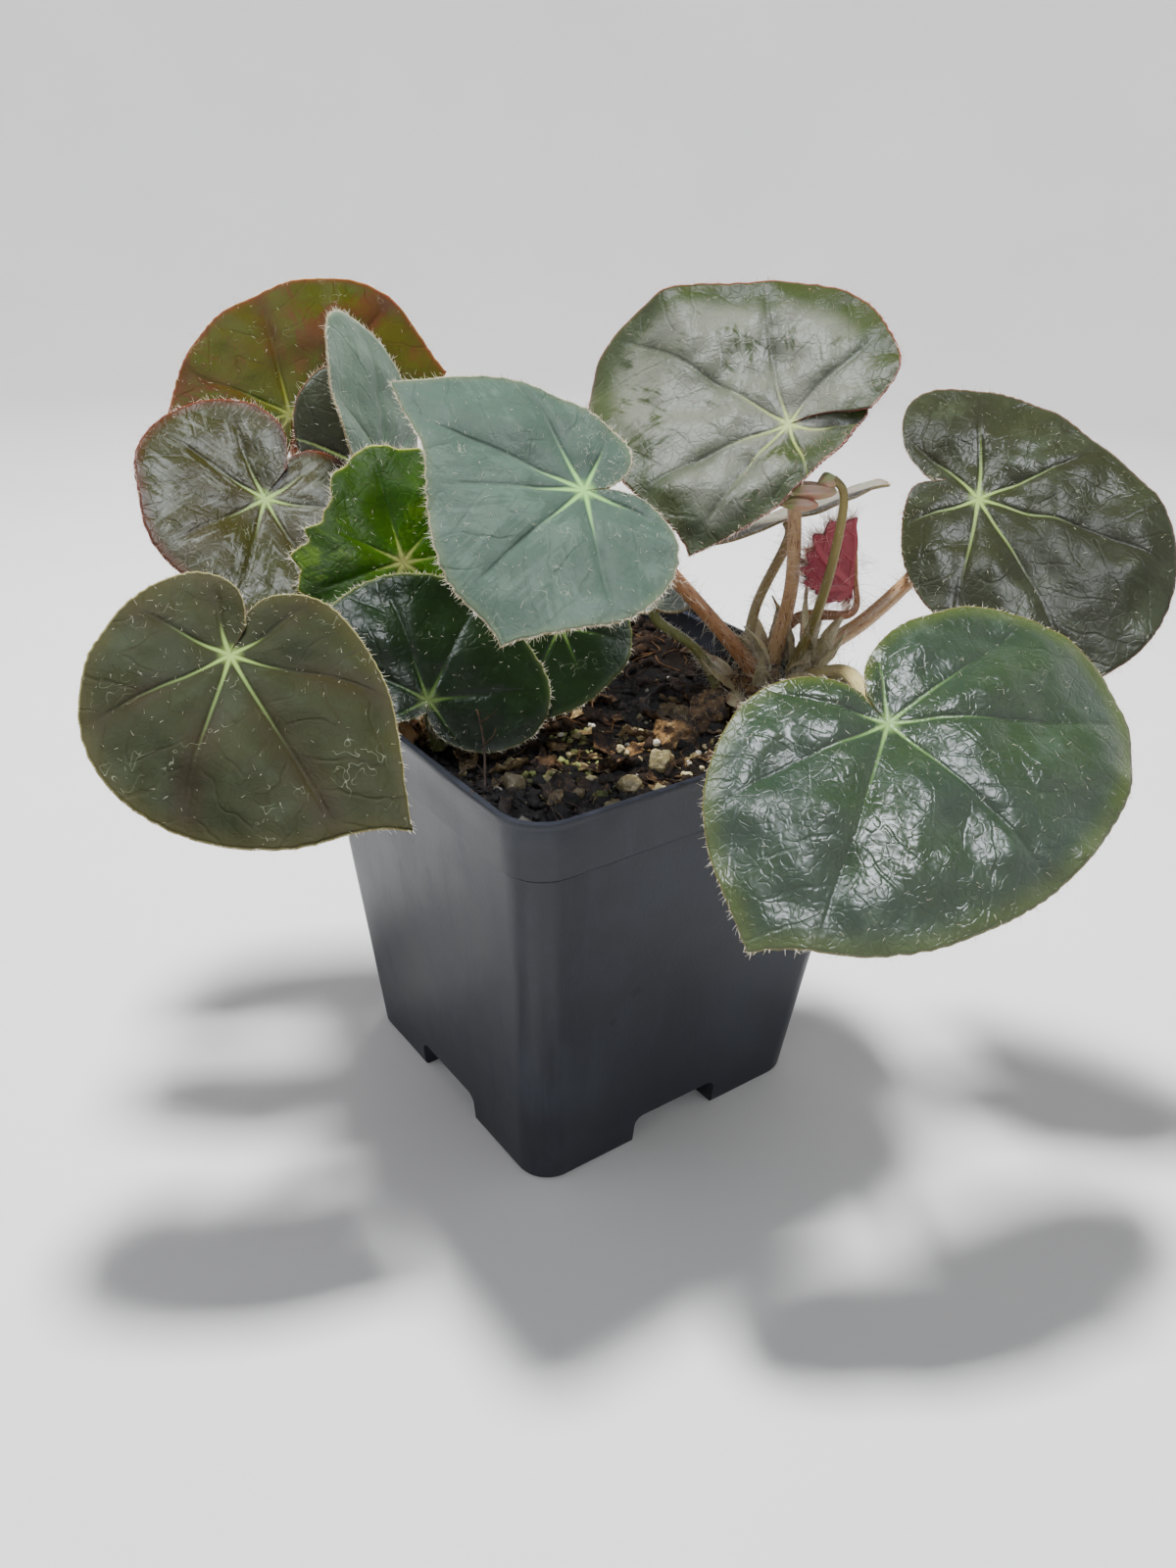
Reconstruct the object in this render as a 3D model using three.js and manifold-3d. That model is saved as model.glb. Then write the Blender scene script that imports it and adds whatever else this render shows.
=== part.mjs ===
// Potted beefsteak begonia: a rhizomatous begonia in a square nursery pot.
// Millimetres, +Z up. The pot is centred on the origin while it is built and stands on z = 0,
// its sides along X and Y. At the end the whole plant is moved so that the origin is the
// middle of its footprint.
import * as THREE from "three";
import { mergeVertices } from "three/addons/utils/BufferGeometryUtils.js";
import Module from "manifold-3d";

const { smoothstep } = THREE.MathUtils;

const wasm = await Module();
wasm.setup();

// Pot
const potTopWidth = 104;
const potBaseWidth = 80;
const potHeight = 104.5;
const bandHeight = 15;
const bandStep = 0.9;
const lipHeight = 2;
const lipStep = 0.8;
const wall = 1.3;
const topCornerRadius = 9;
const baseCornerRadius = 8;
const channelWidth = 25;
const channelHeight = 8;
const drainRadius = 4;
const drainReach = 25;

// Soil and what lies in it
const soilLevel = 95;
const soilTilt = 3;
const soilRoughness = 0.78;
const soilCells = 20;
const pebbleCount = 12;

// Clearance between pieces that touch, and the thickness of a leaf
const gap = 0.3;
const bladeThickness = 0.8;

// Leaf blades: degrees are measured at the petiole, lengths from it
const spread = 40; // the distance from the petiole at which dome, wave and lift have their full depth
const dipRadius = 12; // the funnel where the petiole meets the blade
const sinusAtPetiole = 9; // half the angle of the notch between the basal lobes, near the petiole
const sinusAtMargin = 2; // and at the margin, where the lobes nearly meet
const pointSharpness = 7; // degrees over which a drawn-out tip fades
const liftReach = 70; // degrees from the sinus over which a lobe is raised or lowered

// A repeatable stream of numbers from 0 to 1
function seeded(seed) {
  let state = seed;
  return () => {
    state = (state * 1664525 + 1013904223) % 4294967296;
    return state / 4294967296;
  };
}

// Colours, from the plant
const colours = {
  pot: { color: 0x34383f, roughness: 0.55 },
  soil: { color: 0x2a2018, roughness: 0.95 },
  rhizome: { color: 0x8a7350, roughness: 0.8 },
  petiole: { color: 0xa8744e, roughness: 0.6 },
  greenStalk: { color: 0x8f9a58, roughness: 0.6 },
  bud: { color: 0xc9a98c, roughness: 0.6 },
  darkLeaf: { color: 0x37502f, roughness: 0.35 },
  oliveLeaf: { color: 0x4c4f2c, roughness: 0.4 },
  greyLeaf: { color: 0x5d7563, roughness: 0.45 },
  brownLeaf: { color: 0x5a4226, roughness: 0.35 },
  brightLeaf: { color: 0x5b8a22, roughness: 0.45 },
  redLeaf: { color: 0x7d1422, roughness: 0.5 },
};

const plant = new THREE.Group();

function place(name, geometry, finish) {
  const material = new THREE.MeshStandardMaterial({ metalness: 0, ...colours[finish] });
  const mesh = new THREE.Mesh(geometry, material);
  mesh.name = name;
  plant.add(mesh);
  return mesh;
}

const vector = (p) => new THREE.Vector3(...p);

// Solids that can be joined, cut and intersected
function solidOf(geometry) {
  const bare = geometry.index ? geometry.toNonIndexed() : geometry.clone();
  bare.deleteAttribute("normal");
  bare.deleteAttribute("uv");
  const merged = mergeVertices(bare, 1e-4);
  return new wasm.Manifold(
    new wasm.Mesh({
      numProp: 3,
      vertProperties: new Float32Array(merged.attributes.position.array),
      triVerts: new Uint32Array(merged.index.array),
    }),
  );
}

function geometryOf(solid) {
  const mesh = solid.getMesh();
  const geometry = new THREE.BufferGeometry();
  geometry.setAttribute("position", new THREE.BufferAttribute(new Float32Array(mesh.vertProperties), 3));
  geometry.setIndex(new THREE.BufferAttribute(new Uint32Array(mesh.triVerts), 1));
  geometry.computeVertexNormals();
  return geometry;
}

// The largest piece of a cut solid: loose scraps are dropped
function largest(solid) {
  return solid.decompose().sort((a, b) => b.volume() - a.volume())[0];
}

// Bodies made of rings of points, closed at both ends by a fan
function loft(rings) {
  const sides = rings[0].length;
  const points = rings.flat();
  const faces = [];
  const fan = (ring, flip) => {
    const centre = ring.reduce((sum, p) => sum.add(p), new THREE.Vector3()).divideScalar(sides);
    points.push(centre);
    const start = rings.indexOf(ring) * sides;
    for (let i = 0; i < sides; i++) {
      const next = (i + 1) % sides;
      const pair = flip ? [start + next, start + i] : [start + i, start + next];
      faces.push(points.length - 1, ...pair);
    }
  };
  for (let j = 0; j + 1 < rings.length; j++) {
    for (let i = 0; i < sides; i++) {
      const next = (i + 1) % sides;
      const low = j * sides;
      const high = low + sides;
      faces.push(low + i, low + next, high + next, low + i, high + next, high + i);
    }
  }
  fan(rings[0], true);
  fan(rings[rings.length - 1], false);
  const geometry = new THREE.BufferGeometry().setFromPoints(points);
  geometry.setIndex(faces);
  return geometry;
}

// A square ring with round corners at one height
function squareRing(half, radius, z, cornerSteps = 4) {
  const ring = [];
  for (let corner = 0; corner < 4; corner++) {
    const turn = (corner * Math.PI) / 2;
    const centre = new THREE.Vector2(half - radius, half - radius).rotateAround(new THREE.Vector2(), turn);
    for (let i = 0; i <= cornerSteps; i++) {
      const angle = turn + ((i / cornerSteps) * Math.PI) / 2;
      const x = centre.x + radius * Math.cos(angle);
      const y = centre.y + radius * Math.sin(angle);
      ring.push(new THREE.Vector3(x, y, z));
    }
  }
  return ring;
}

// Half width and corner radius of the pot's tapered body at a height
function potHalf(z) {
  const body = potTopWidth / 2 - lipStep - bandStep;
  return potBaseWidth / 2 + (body - potBaseWidth / 2) * (z / potHeight);
}

function potCorner(z) {
  return baseCornerRadius + (topCornerRadius - baseCornerRadius) * (z / potHeight);
}

function bodyRing(z, grow = 0) {
  return squareRing(potHalf(z) + grow, potCorner(z) + grow, z);
}

// The space inside the pot, drawn in by an amount for what fills it
function potInside(inset, top) {
  const floor = wall + inset;
  const inner = solidOf(loft([bodyRing(floor, -wall - inset), bodyRing(top, -wall - inset)]));
  const half = channelWidth / 2 + wall + inset;
  const ribTop = channelHeight + wall + inset;
  const rib = new THREE.BoxGeometry(potTopWidth, 2 * half, 2 * ribTop);
  const ribs = solidOf(rib).add(solidOf(rib.clone().rotateZ(Math.PI / 2)));
  return inner.subtract(ribs);
}

function makePot() {
  const bandFoot = potHeight - bandHeight;
  const lipFoot = potHeight - lipHeight;
  const outside = loft([
    bodyRing(0),
    bodyRing(bandFoot),
    bodyRing(bandFoot + 0.8, bandStep),
    bodyRing(lipFoot, bandStep),
    bodyRing(lipFoot + 0.3, bandStep + lipStep),
    bodyRing(potHeight - 0.4, bandStep + lipStep),
    bodyRing(potHeight, bandStep + lipStep - 0.4),
  ]);
  // channel under the base, open at the middle of each side, with rounded upper corners
  const mouth = new THREE.Shape();
  const side = channelWidth / 2;
  const round = 2.5;
  mouth.moveTo(-side, -1);
  mouth.lineTo(side, -1);
  mouth.lineTo(side, channelHeight - round);
  mouth.absarc(side - round, channelHeight - round, round, 0, Math.PI / 2);
  mouth.absarc(round - side, channelHeight - round, round, Math.PI / 2, Math.PI);
  mouth.closePath();
  const cut = { depth: potTopWidth, bevelEnabled: false, curveSegments: 3 };
  const along = new THREE.ExtrudeGeometry(mouth, cut);
  along.translate(0, 0, -potTopWidth / 2).rotateX(Math.PI / 2);
  const channels = solidOf(along).add(solidOf(along.clone().rotateZ(Math.PI / 2)));
  let pot = solidOf(outside).subtract(potInside(0, potHeight + 1)).subtract(channels);
  const drain = new THREE.CylinderGeometry(drainRadius, drainRadius, 4 * wall, 10).rotateX(Math.PI / 2);
  drain.translate(0, 0, channelHeight + wall / 2);
  const places = [[0, 0], [drainReach, 0], [-drainReach, 0], [0, drainReach], [0, -drainReach]];
  for (const [x, y] of places) pot = pot.subtract(solidOf(drain.clone().translate(x, y, 0)));
  return pot;
}

// An even stem along a smooth curve through its points
function tube(points, radius, steps) {
  const sides = 7;
  const section = new THREE.Shape();
  for (let i = 0; i < sides; i++) {
    const angle = (i / sides) * 2 * Math.PI;
    const corner = [radius * Math.cos(angle), radius * Math.sin(angle)];
    if (i === 0) section.moveTo(...corner);
    else section.lineTo(...corner);
  }
  section.closePath();
  const extrudePath = new THREE.CatmullRomCurve3(points);
  return new THREE.ExtrudeGeometry(section, { steps, extrudePath, bevelEnabled: false });
}

// A gnarled rod whose thickness changes along its way
function rod(points, radii, knots) {
  const steps = 14;
  const sides = 9;
  const curve = new THREE.CatmullRomCurve3(points);
  const { tangents, normals, binormals } = curve.computeFrenetFrames(steps, false);
  const rings = [];
  for (let j = 0; j <= steps; j++) {
    const t = j / steps;
    const where = curve.getPointAt(t);
    const k = t * (radii.length - 1);
    const low = Math.min(Math.floor(k), radii.length - 2);
    const plain = THREE.MathUtils.lerp(radii[low], radii[low + 1], k - low);
    const radius = plain * (1 + 0.12 * Math.cos(Math.PI * knots * t));
    const ring = [];
    for (let i = 0; i < sides; i++) {
      const angle = (i / sides) * 2 * Math.PI;
      const out = radius * (1 + 0.08 * Math.sin(3 * angle + 5 * t));
      ring.push(
        where
          .clone()
          .addScaledVector(normals[j], out * Math.cos(angle))
          .addScaledVector(binormals[j], out * Math.sin(angle)),
      );
    }
    rings.push(ring);
  }
  return loft(rings);
}

// A pointed papery scale that stands on a stem: a flattened, bent cone
function scale(root, tip, width) {
  const bend = 1;
  const from = vector(root);
  const to = vector(tip);
  const length = from.distanceTo(to);
  const geometry = new THREE.ConeGeometry(width / 2, length, 6, 3);
  geometry.translate(0, length / 2, 0).scale(1, 1, 0.4);
  const p = geometry.attributes.position;
  for (let i = 0; i < p.count; i++) {
    const t = p.getY(i) / length;
    p.setZ(i, p.getZ(i) + bend * Math.sin(Math.PI * t));
  }
  const up = to.clone().sub(from).normalize();
  const side = new THREE.Vector3().crossVectors(up, new THREE.Vector3(0.3, 0.2, 1)).normalize();
  const front = new THREE.Vector3().crossVectors(side, up);
  geometry.applyMatrix4(new THREE.Matrix4().makeBasis(side, up, front));
  return geometry.translate(...root);
}

// Leaf blades
// A blade is drawn in its own frame: the petiole meets it at the origin, +Z is its upper side
// and +Y points away from the sinus, the notch where the two basal lobes meet. reach is the
// distance from the petiole to the margin every 20 degrees, from the sinus round and back to
// it, anticlockwise from above. tips adds drawn-out points (where, how long) and teeth a jagged
// margin (how many, how deep). dome, dip, wave, lift, roll and closed bend the blade, and
// overlap lays one basal lobe over the other. at, lean, faces and head place it: lean is how
// far the upper side turns from straight up, faces is the compass direction it leans to (0
// along +X), and head turns +Y from straight downhill.

function reachAt(leaf, turn) {
  const k = (turn / 360) * (leaf.reach.length - 1);
  const i = Math.min(Math.floor(k), leaf.reach.length - 2);
  const t = k - i;
  const value = (j) => leaf.reach[THREE.MathUtils.clamp(j, 0, leaf.reach.length - 1)];
  const [a, b, c, d] = [value(i - 1), value(i), value(i + 1), value(i + 2)];
  const even = b + 0.5 * t * (c - a + t * (2 * a - 5 * b + 4 * c - d + t * (3 * (b - c) + d - a)));
  const point = ([at, length]) => length * Math.exp(-Math.abs(turn - at) / pointSharpness);
  const points = (leaf.tips ?? []).map(point).reduce((sum, length) => sum + length, 0);
  const [count, depth] = leaf.teeth ?? [0, 0];
  const teeth = depth * Math.abs((((turn * count) / 360) % 1) - 0.5) * 2;
  return even + points + teeth;
}

function bladePoint(leaf, u, s) {
  const atMargin = leaf.overlap ? -leaf.overlap : sinusAtMargin;
  const sinus = THREE.MathUtils.lerp(sinusAtPetiole, atMargin, smoothstep(s, 0.25, 0.8));
  const turn = sinus + u * (360 - 2 * sinus);
  const a = THREE.MathUtils.degToRad(turn);
  const r = s * reachAt(leaf, u * 360);
  const far = r / spread;
  let x = r * Math.sin(a);
  const y = -r * Math.cos(a);
  let z = leaf.dip * (1 - Math.exp(-((r / dipRadius) ** 2))) - leaf.dome * far ** 2;
  const phase = THREE.MathUtils.degToRad(leaf.phase ?? 0);
  if (leaf.wave) z += leaf.wave * far ** 3 * Math.sin(leaf.waves * a + phase);
  const fromSinus = 360 * Math.min(u, 1 - u);
  const side = u < 0.5 ? 1 : -1;
  z += side * (leaf.lift ?? 0) * (1 - smoothstep(fromSinus, 0, liftReach)) * Math.min(far, 1);
  if (leaf.roll) {
    // the margin rolls down over 60 degrees on each side of one direction
    const [rollTurn, rollDepth] = leaf.roll;
    const off = Math.abs(THREE.MathUtils.euclideanModulo(turn - rollTurn + 180, 360) - 180);
    const across = Math.cos(THREE.MathUtils.degToRad(Math.min(off * 1.5, 90)));
    z -= 3 * rollDepth * across * Math.max(far - 0.45, 0) ** 2;
  }
  if (leaf.closed) {
    // a young leaf still folded along its midrib
    const lift = THREE.MathUtils.degToRad(leaf.closed);
    z += Math.abs(x) * Math.sin(lift);
    x *= Math.cos(lift);
  }
  return new THREE.Vector3(x, y, z);
}

function bladeNormal(leaf, u, s) {
  const d = 0.004;
  const lowU = Math.max(u - d, 0);
  const highU = Math.min(u + d, 1);
  const alongU = bladePoint(leaf, highU, s).sub(bladePoint(leaf, lowU, s));
  const alongS = bladePoint(leaf, u, s + d).sub(bladePoint(leaf, u, s - d));
  return alongS.cross(alongU).normalize();
}

// Even steps round the blade, the nearest ones moved onto its points so that they stay sharp
function stepsRound(leaf, turns) {
  const steps = Array.from({ length: turns + 1 }, (_, i) => i / turns);
  for (const [turn] of leaf.tips ?? []) steps[Math.round((turn / 360) * turns)] = turn / 360;
  return steps;
}

function blade(leaf) {
  const turns = leaf.turns ?? 32;
  const steps = stepsRound(leaf, turns);
  const rings = leaf.rings ?? 5;
  const points = [new THREE.Vector3(), new THREE.Vector3(0, 0, -bladeThickness)];
  const index = (i, j, under) => (j === 0 ? 0 : 2 + 2 * ((j - 1) * (turns + 1) + i)) + (under ? 1 : 0);
  for (let j = 1; j <= rings; j++) {
    for (let i = 0; i <= turns; i++) {
      const top = bladePoint(leaf, steps[i], j / rings);
      const below = j === 1 ? new THREE.Vector3(0, 0, 1) : bladeNormal(leaf, steps[i], j / rings);
      points.push(top, top.clone().addScaledVector(below, -bladeThickness));
    }
  }
  const faces = [];
  const both = (a, b, c) => {
    faces.push(index(...a, false), index(...b, false), index(...c, false));
    faces.push(index(...a, true), index(...c, true), index(...b, true));
  };
  const edge = (a, b) => {
    const [p, q, r, t] = [index(...a, false), index(...b, false), index(...b, true), index(...a, true)];
    faces.push(q, p, t, q, t, r);
  };
  for (let i = 0; i < turns; i++) {
    both([0, 0], [i, 1], [i + 1, 1]);
    for (let j = 1; j < rings; j++) {
      both([i, j], [i, j + 1], [i + 1, j + 1]);
      both([i, j], [i + 1, j + 1], [i + 1, j]);
    }
    edge([i, rings], [i + 1, rings]);
  }
  for (let j = 0; j < rings; j++) {
    edge([0, j], [0, j + 1]);
    edge([turns, j + 1], [turns, j]);
  }
  const geometry = new THREE.BufferGeometry().setFromPoints(points);
  geometry.setIndex(faces);
  return geometry;
}

// The way a leaf stands, as a matrix from its own frame to the pot's
function stance(leaf) {
  const [lean, faces, head] = [leaf.lean, leaf.faces, leaf.head].map(THREE.MathUtils.degToRad);
  const compass = new THREE.Vector3(Math.cos(faces), Math.sin(faces), 0);
  const up = compass.clone().multiplyScalar(Math.sin(lean)).setZ(Math.cos(lean));
  const downhill = compass.clone().multiplyScalar(Math.cos(lean)).setZ(-Math.sin(lean));
  const away = downhill.applyAxisAngle(up, head);
  const across = new THREE.Vector3().crossVectors(away, up);
  return new THREE.Matrix4().makeBasis(across, away, up).setPosition(...leaf.at);
}

const leaves = {
  leaf_front_left: {
    at: [-77, 21, 120], lean: 36, faces: -113, head: -21, finish: "oliveLeaf",
    dome: 3, dip: 2, lift: 3, overlap: 8,
    reach: [7, 15, 20, 23, 24, 26, 29, 33, 37, 40, 43, 45, 43, 36, 29, 25, 22, 16, 7], tips: [[237, 10]],
  },
  leaf_front_right: {
    at: [27, -66, 113], lean: 35, faces: -120, head: 35, finish: "darkLeaf",
    dome: 5, dip: 3,
    reach: [8, 19, 28, 36, 44, 50, 50, 48, 46, 46, 48, 52, 55, 52, 42, 29, 20, 13, 7], tips: [[108, 6]],
  },
  leaf_centre: {
    at: [-11, -11, 153], lean: 41, faces: -111, head: -90, finish: "greyLeaf",
    dome: 2, dip: 2, roll: [180, 4],
    reach: [5, 11, 14, 16, 19, 24, 33, 38, 33, 32, 34, 36, 35, 32, 30, 27, 22, 14, 5],
    tips: [[139, 9], [237, 5]],
  },
  leaf_top: {
    at: [43, -13, 161], lean: 47, faces: -151, head: -62, finish: "greyLeaf",
    dome: 2, dip: 3, wave: 2, waves: 4, phase: 40, lift: 3, overlap: 10,
    reach: [18, 26, 29, 34, 36, 39, 48, 54, 48, 40, 35, 31, 23, 17, 14, 14, 15, 17, 10],
    tips: [[219, 6]],
  },
  leaf_right: {
    at: [90, -31, 142], lean: 43, faces: -143, head: 70, finish: "oliveLeaf",
    dome: 5, dip: 2, lift: 2, overlap: 5,
    reach: [9, 15, 17, 20, 25, 31, 38, 46, 51, 49, 44, 36, 31, 30, 30, 32, 34, 24, 9], tips: [[146, 4]],
  },
  leaf_left: {
    at: [-50, 62, 139], lean: 45, faces: -105, head: -34, finish: "brownLeaf",
    dome: 1, dip: 2, wave: 2.5, waves: 4, lift: 2, overlap: 8,
    reach: [9, 18, 24, 28, 30, 30, 28, 28, 28, 28, 32, 31, 28, 25, 23, 22, 21, 17, 9],
  },
  leaf_back_left: {
    at: [-32, 86, 152], lean: 48, faces: -113, head: -176, finish: "brownLeaf",
    dome: 4, dip: 1, wave: 2, waves: 3,
    reach: [8, 18, 22, 26, 31, 38, 42, 44, 41, 37, 34, 31, 29, 29, 31, 28, 23, 16, 7], tips: [[104, 4]],
  },
  leaf_bright: {
    at: [-32, 29, 130], lean: 54, faces: -103, head: -174, finish: "brightLeaf",
    dome: 2, dip: 1, turns: 54, rings: 4,
    reach: [8, 10, 11, 12, 13, 15, 18, 22, 26, 27, 24, 20, 20, 23, 22, 18, 13, 10, 8], teeth: [18, 3.5],
  },
  leaf_low_front: {
    at: [-41, 3, 108], lean: 50, faces: -110, head: 169, finish: "darkLeaf",
    dome: 3, dip: 2,
    reach: [4, 9, 14, 20, 25, 27, 26, 26, 27, 28, 29, 29, 28, 22, 17, 12, 7, 4, 3],
  },
  leaf_edge_on: {
    at: [-21, 56, 144], lean: 67, faces: -52, head: 153, finish: "greyLeaf",
    dome: 2, dip: 1, turns: 26, rings: 4,
    reach: [4, 8, 10, 11, 12, 14, 19, 26, 33, 37, 37, 28, 21, 17, 14, 11, 9, 7, 4],
  },
  leaf_shaded_back: {
    at: [-22, 67, 142], lean: 61, faces: -121, head: -162, finish: "darkLeaf",
    dome: 2, dip: 1, turns: 26, rings: 4,
    reach: [4, 6, 6, 6, 7, 8, 10, 14, 20, 26, 24, 20, 16, 12, 9, 8, 7, 6, 4],
  },
  leaf_shaded_front: {
    at: [-8, 1, 119], lean: 51, faces: -121, head: 24, finish: "darkLeaf",
    dome: 2, dip: 1, turns: 26, rings: 4,
    reach: [4, 9, 13, 15, 17, 19, 21, 22, 20, 18, 17, 17, 16, 15, 13, 12, 10, 8, 4],
  },
  leaf_behind: {
    at: [51, -7, 137], lean: 25, faces: 111, head: -57, finish: "greyLeaf",
    dome: 2, dip: 1, turns: 26, rings: 4,
    reach: [4, 9, 14, 20, 24, 26, 27, 29, 31, 33, 32, 28, 25, 23, 22, 20, 15, 10, 4],
  },
  leaf_small: {
    at: [14, -5, 122], lean: 6, faces: 174, head: -120, finish: "greyLeaf",
    dome: 1, dip: 1, turns: 20, rings: 3,
    reach: [2, 5, 7, 8, 9, 9, 10, 11, 12, 12, 12, 11, 10, 9, 9, 8, 7, 5, 2],
  },
  leaf_young_red: {
    at: [57, -25, 124], lean: 95, faces: 144, head: 180, finish: "redLeaf",
    dome: 0, dip: 0, closed: 76, turns: 36, rings: 3,
    reach: [1, 2, 4, 6, 8, 10, 11, 13, 15, 17, 15, 13, 11, 10, 8, 6, 4, 2, 1], teeth: [9, 2.5],
  },
};

// Petioles: where each one leaves the rhizome, the points it passes, and its radius
const petioles = {
  leaf_front_left: { from: [-42, 9, 95], by: [[-49, 23, 108]], radius: 2.1 },
  leaf_front_right: { from: [43, -26, 104], by: [[42, -40, 111]], radius: 2.1 },
  leaf_centre: { from: [36, -18, 104], by: [[20, -16, 122], [4, -13, 139]], radius: 1.9 },
  leaf_top: { from: [41, -17, 105], by: [[44, -18, 126]], radius: 1.8 },
  leaf_right: { from: [46, -18, 105], by: [[61, -26, 115]], radius: 2.1 },
  leaf_left: { from: [-38, 13, 96], by: [[-44, 36, 107], [-49, 54, 124]], radius: 1.9 },
  leaf_back_left: { from: [-33, 16, 96], by: [[-35, 40, 111], [-33, 72, 129]], radius: 2 },
  leaf_bright: { from: [-34, 10, 97], by: [[-33, 20, 112]], radius: 1.5 },
  leaf_low_front: { from: [-37, 6, 94], by: [], radius: 1.6 },
  leaf_edge_on: { from: [-28, 8, 95], by: [[-20, 28, 114]], radius: 1.5 },
  leaf_shaded_back: { from: [-28, 13, 95], by: [[-31, 38, 116]], radius: 1.4 },
  leaf_shaded_front: { from: [-25, 4, 93], by: [[-18, 5, 108]], radius: 1.4 },
  leaf_behind: { from: [37, -12, 102], by: [[42, -9, 117]], radius: 1.4 },
  leaf_small: { from: [31, -11, 98], by: [[24, -9, 110]], radius: 1.3 },
  leaf_young_red: { from: [42, -13, 104], by: [[49, -16, 115]], radius: 1.5 },
};

// Rhizomes: creeping stems half sunk in the soil
const rhizomes = {
  rhizome_right: {
    way: [[-3, -19, 91], [10, -18, 94], [24, -15, 96], [34, -14, 99], [42, -20, 103]],
    radii: [3, 4.5, 5, 6, 6.5], knots: 7,
    scales: [
      [[30, -17, 99], [24, -27, 102], 5], [[34, -11, 100], [27, -3, 107], 5],
      [[41, -23, 102], [37, -32, 108], 5], [[40, -14, 103], [33, -12, 113], 5],
      [[43, -14, 104], [45, -6, 114], 6], [[36, -20, 101], [30, -25, 109], 5],
      [[46, -22, 105], [43, -26, 117], 6], [[47, -15, 104], [50, -9, 113], 5],
      [[45, -24, 103], [52, -34, 107], 6],
    ],
  },
  rhizome_left: {
    way: [[-22, 3, 90], [-28, 8, 93], [-34, 11, 95], [-39, 10, 96]],
    radii: [3, 4.5, 5, 4], knots: 5,
    scales: [
      [[-35, 6, 96], [-28, -3, 99], 5], [[-40, 12, 98], [-46, 12, 107], 5],
      [[-31, 11, 98], [-24, 12, 106], 5],
    ],
  },
};

// Pot
const pot = makePot();
place("pot", geometryOf(pot), "pot");

// A petiole runs from inside the rhizome to the blade, which it meets square on from below.
// The folded young leaf sits on the end of its own instead.
function petioleTube(name, grow = 0) {
  const leaf = leaves[name];
  const { from, by, radius } = petioles[name];
  const end = leaf.closed
    ? [new THREE.Vector3(0, -6, 0)]
    : [new THREE.Vector3(0, 0, -3.5), new THREE.Vector3()];
  const matrix = stance(leaf);
  const path = [...[from, ...by].map(vector), ...end.map((p) => p.applyMatrix4(matrix))];
  return solidOf(tube(path, radius + grow, path.length * 3 - 1));
}

function makePetiole(name) {
  const leaf = leaves[name];
  const stem = petioleTube(name);
  if (leaf.closed) return stem;
  // the top is cut off level with the underside of the blade
  const room = 5 * petioles[name].radius;
  const above = new THREE.BoxGeometry(room, room, room);
  above.translate(0, 0, room / 2 - bladeThickness - gap).applyMatrix4(stance(leaf));
  return largest(stem.subtract(solidOf(above)));
}

// Flower stalk: an even tube that nods at its end
const stalkWay = [[42, -22, 104], [45, -26, 120], [47, -28, 140], [47, -28, 149], [43, -26, 151]];
const stalkRadius = 1.2;
const stalkTube = (grow) => tube(stalkWay.map(vector), stalkRadius + grow, 12);

// Room for every stem in the pieces it stands in
const stemRoom = Object.keys(petioles)
  .map((name) => petioleTube(name, gap))
  .reduce((sum, stem) => sum.add(stem), solidOf(stalkTube(gap)));

const rhizomeRoom = [];
for (const [name, { way, radii, knots, scales }] of Object.entries(rhizomes)) {
  const way3 = way.map(vector);
  let body = solidOf(rod(way3, radii, knots));
  for (const [root, tip, width] of scales) body = body.add(solidOf(scale(root, tip, width)));
  place(name, geometryOf(largest(body.subtract(stemRoom))), "rhizome");
  rhizomeRoom.push(solidOf(rod(way3, radii.map((r) => r + gap), knots)));
  for (const [root, tip, width] of scales) rhizomeRoom.push(solidOf(scale(root, tip, width + 2 * gap)));
}

for (const name of Object.keys(petioles)) {
  const finish = name === "leaf_small" || name === "leaf_low_front" ? "greenStalk" : "petiole";
  place(name.replace("leaf", "petiole"), geometryOf(makePetiole(name)), finish);
}

for (const [name, leaf] of Object.entries(leaves)) {
  const mesh = place(name, blade(leaf), leaf.finish);
  stance(leaf).decompose(mesh.position, mesh.quaternion, mesh.scale);
}

// Flower stalk with its nodding bud between two bracts
place("flower_stalk", stalkTube(0), "greenStalk");

function ball(radii, turn, at) {
  return solidOf(new THREE.SphereGeometry(1, 8, 6).scale(...radii).rotateZ(turn).translate(...at));
}
const bud = ball([5.5, 3, 2.6], -0.6, [39, -25, 148]).add(ball([4.5, 2.2, 3], -0.9, [36, -25, 145]));
place("flower_bud", geometryOf(bud.subtract(solidOf(stalkTube(gap)))), "bud");

// Soil: an uneven surface, higher at the back, with pebbles and perlite standing out of it
function soilHeight(x, y) {
  const slope = (soilTilt * (x + y)) / potTopWidth;
  const rough = Math.sin(0.31 * x + 1.7) * Math.cos(0.27 * y) + 0.6 * Math.sin(0.73 * x - 0.51 * y + 0.4);
  return soilLevel + slope + soilRoughness * rough;
}

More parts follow.
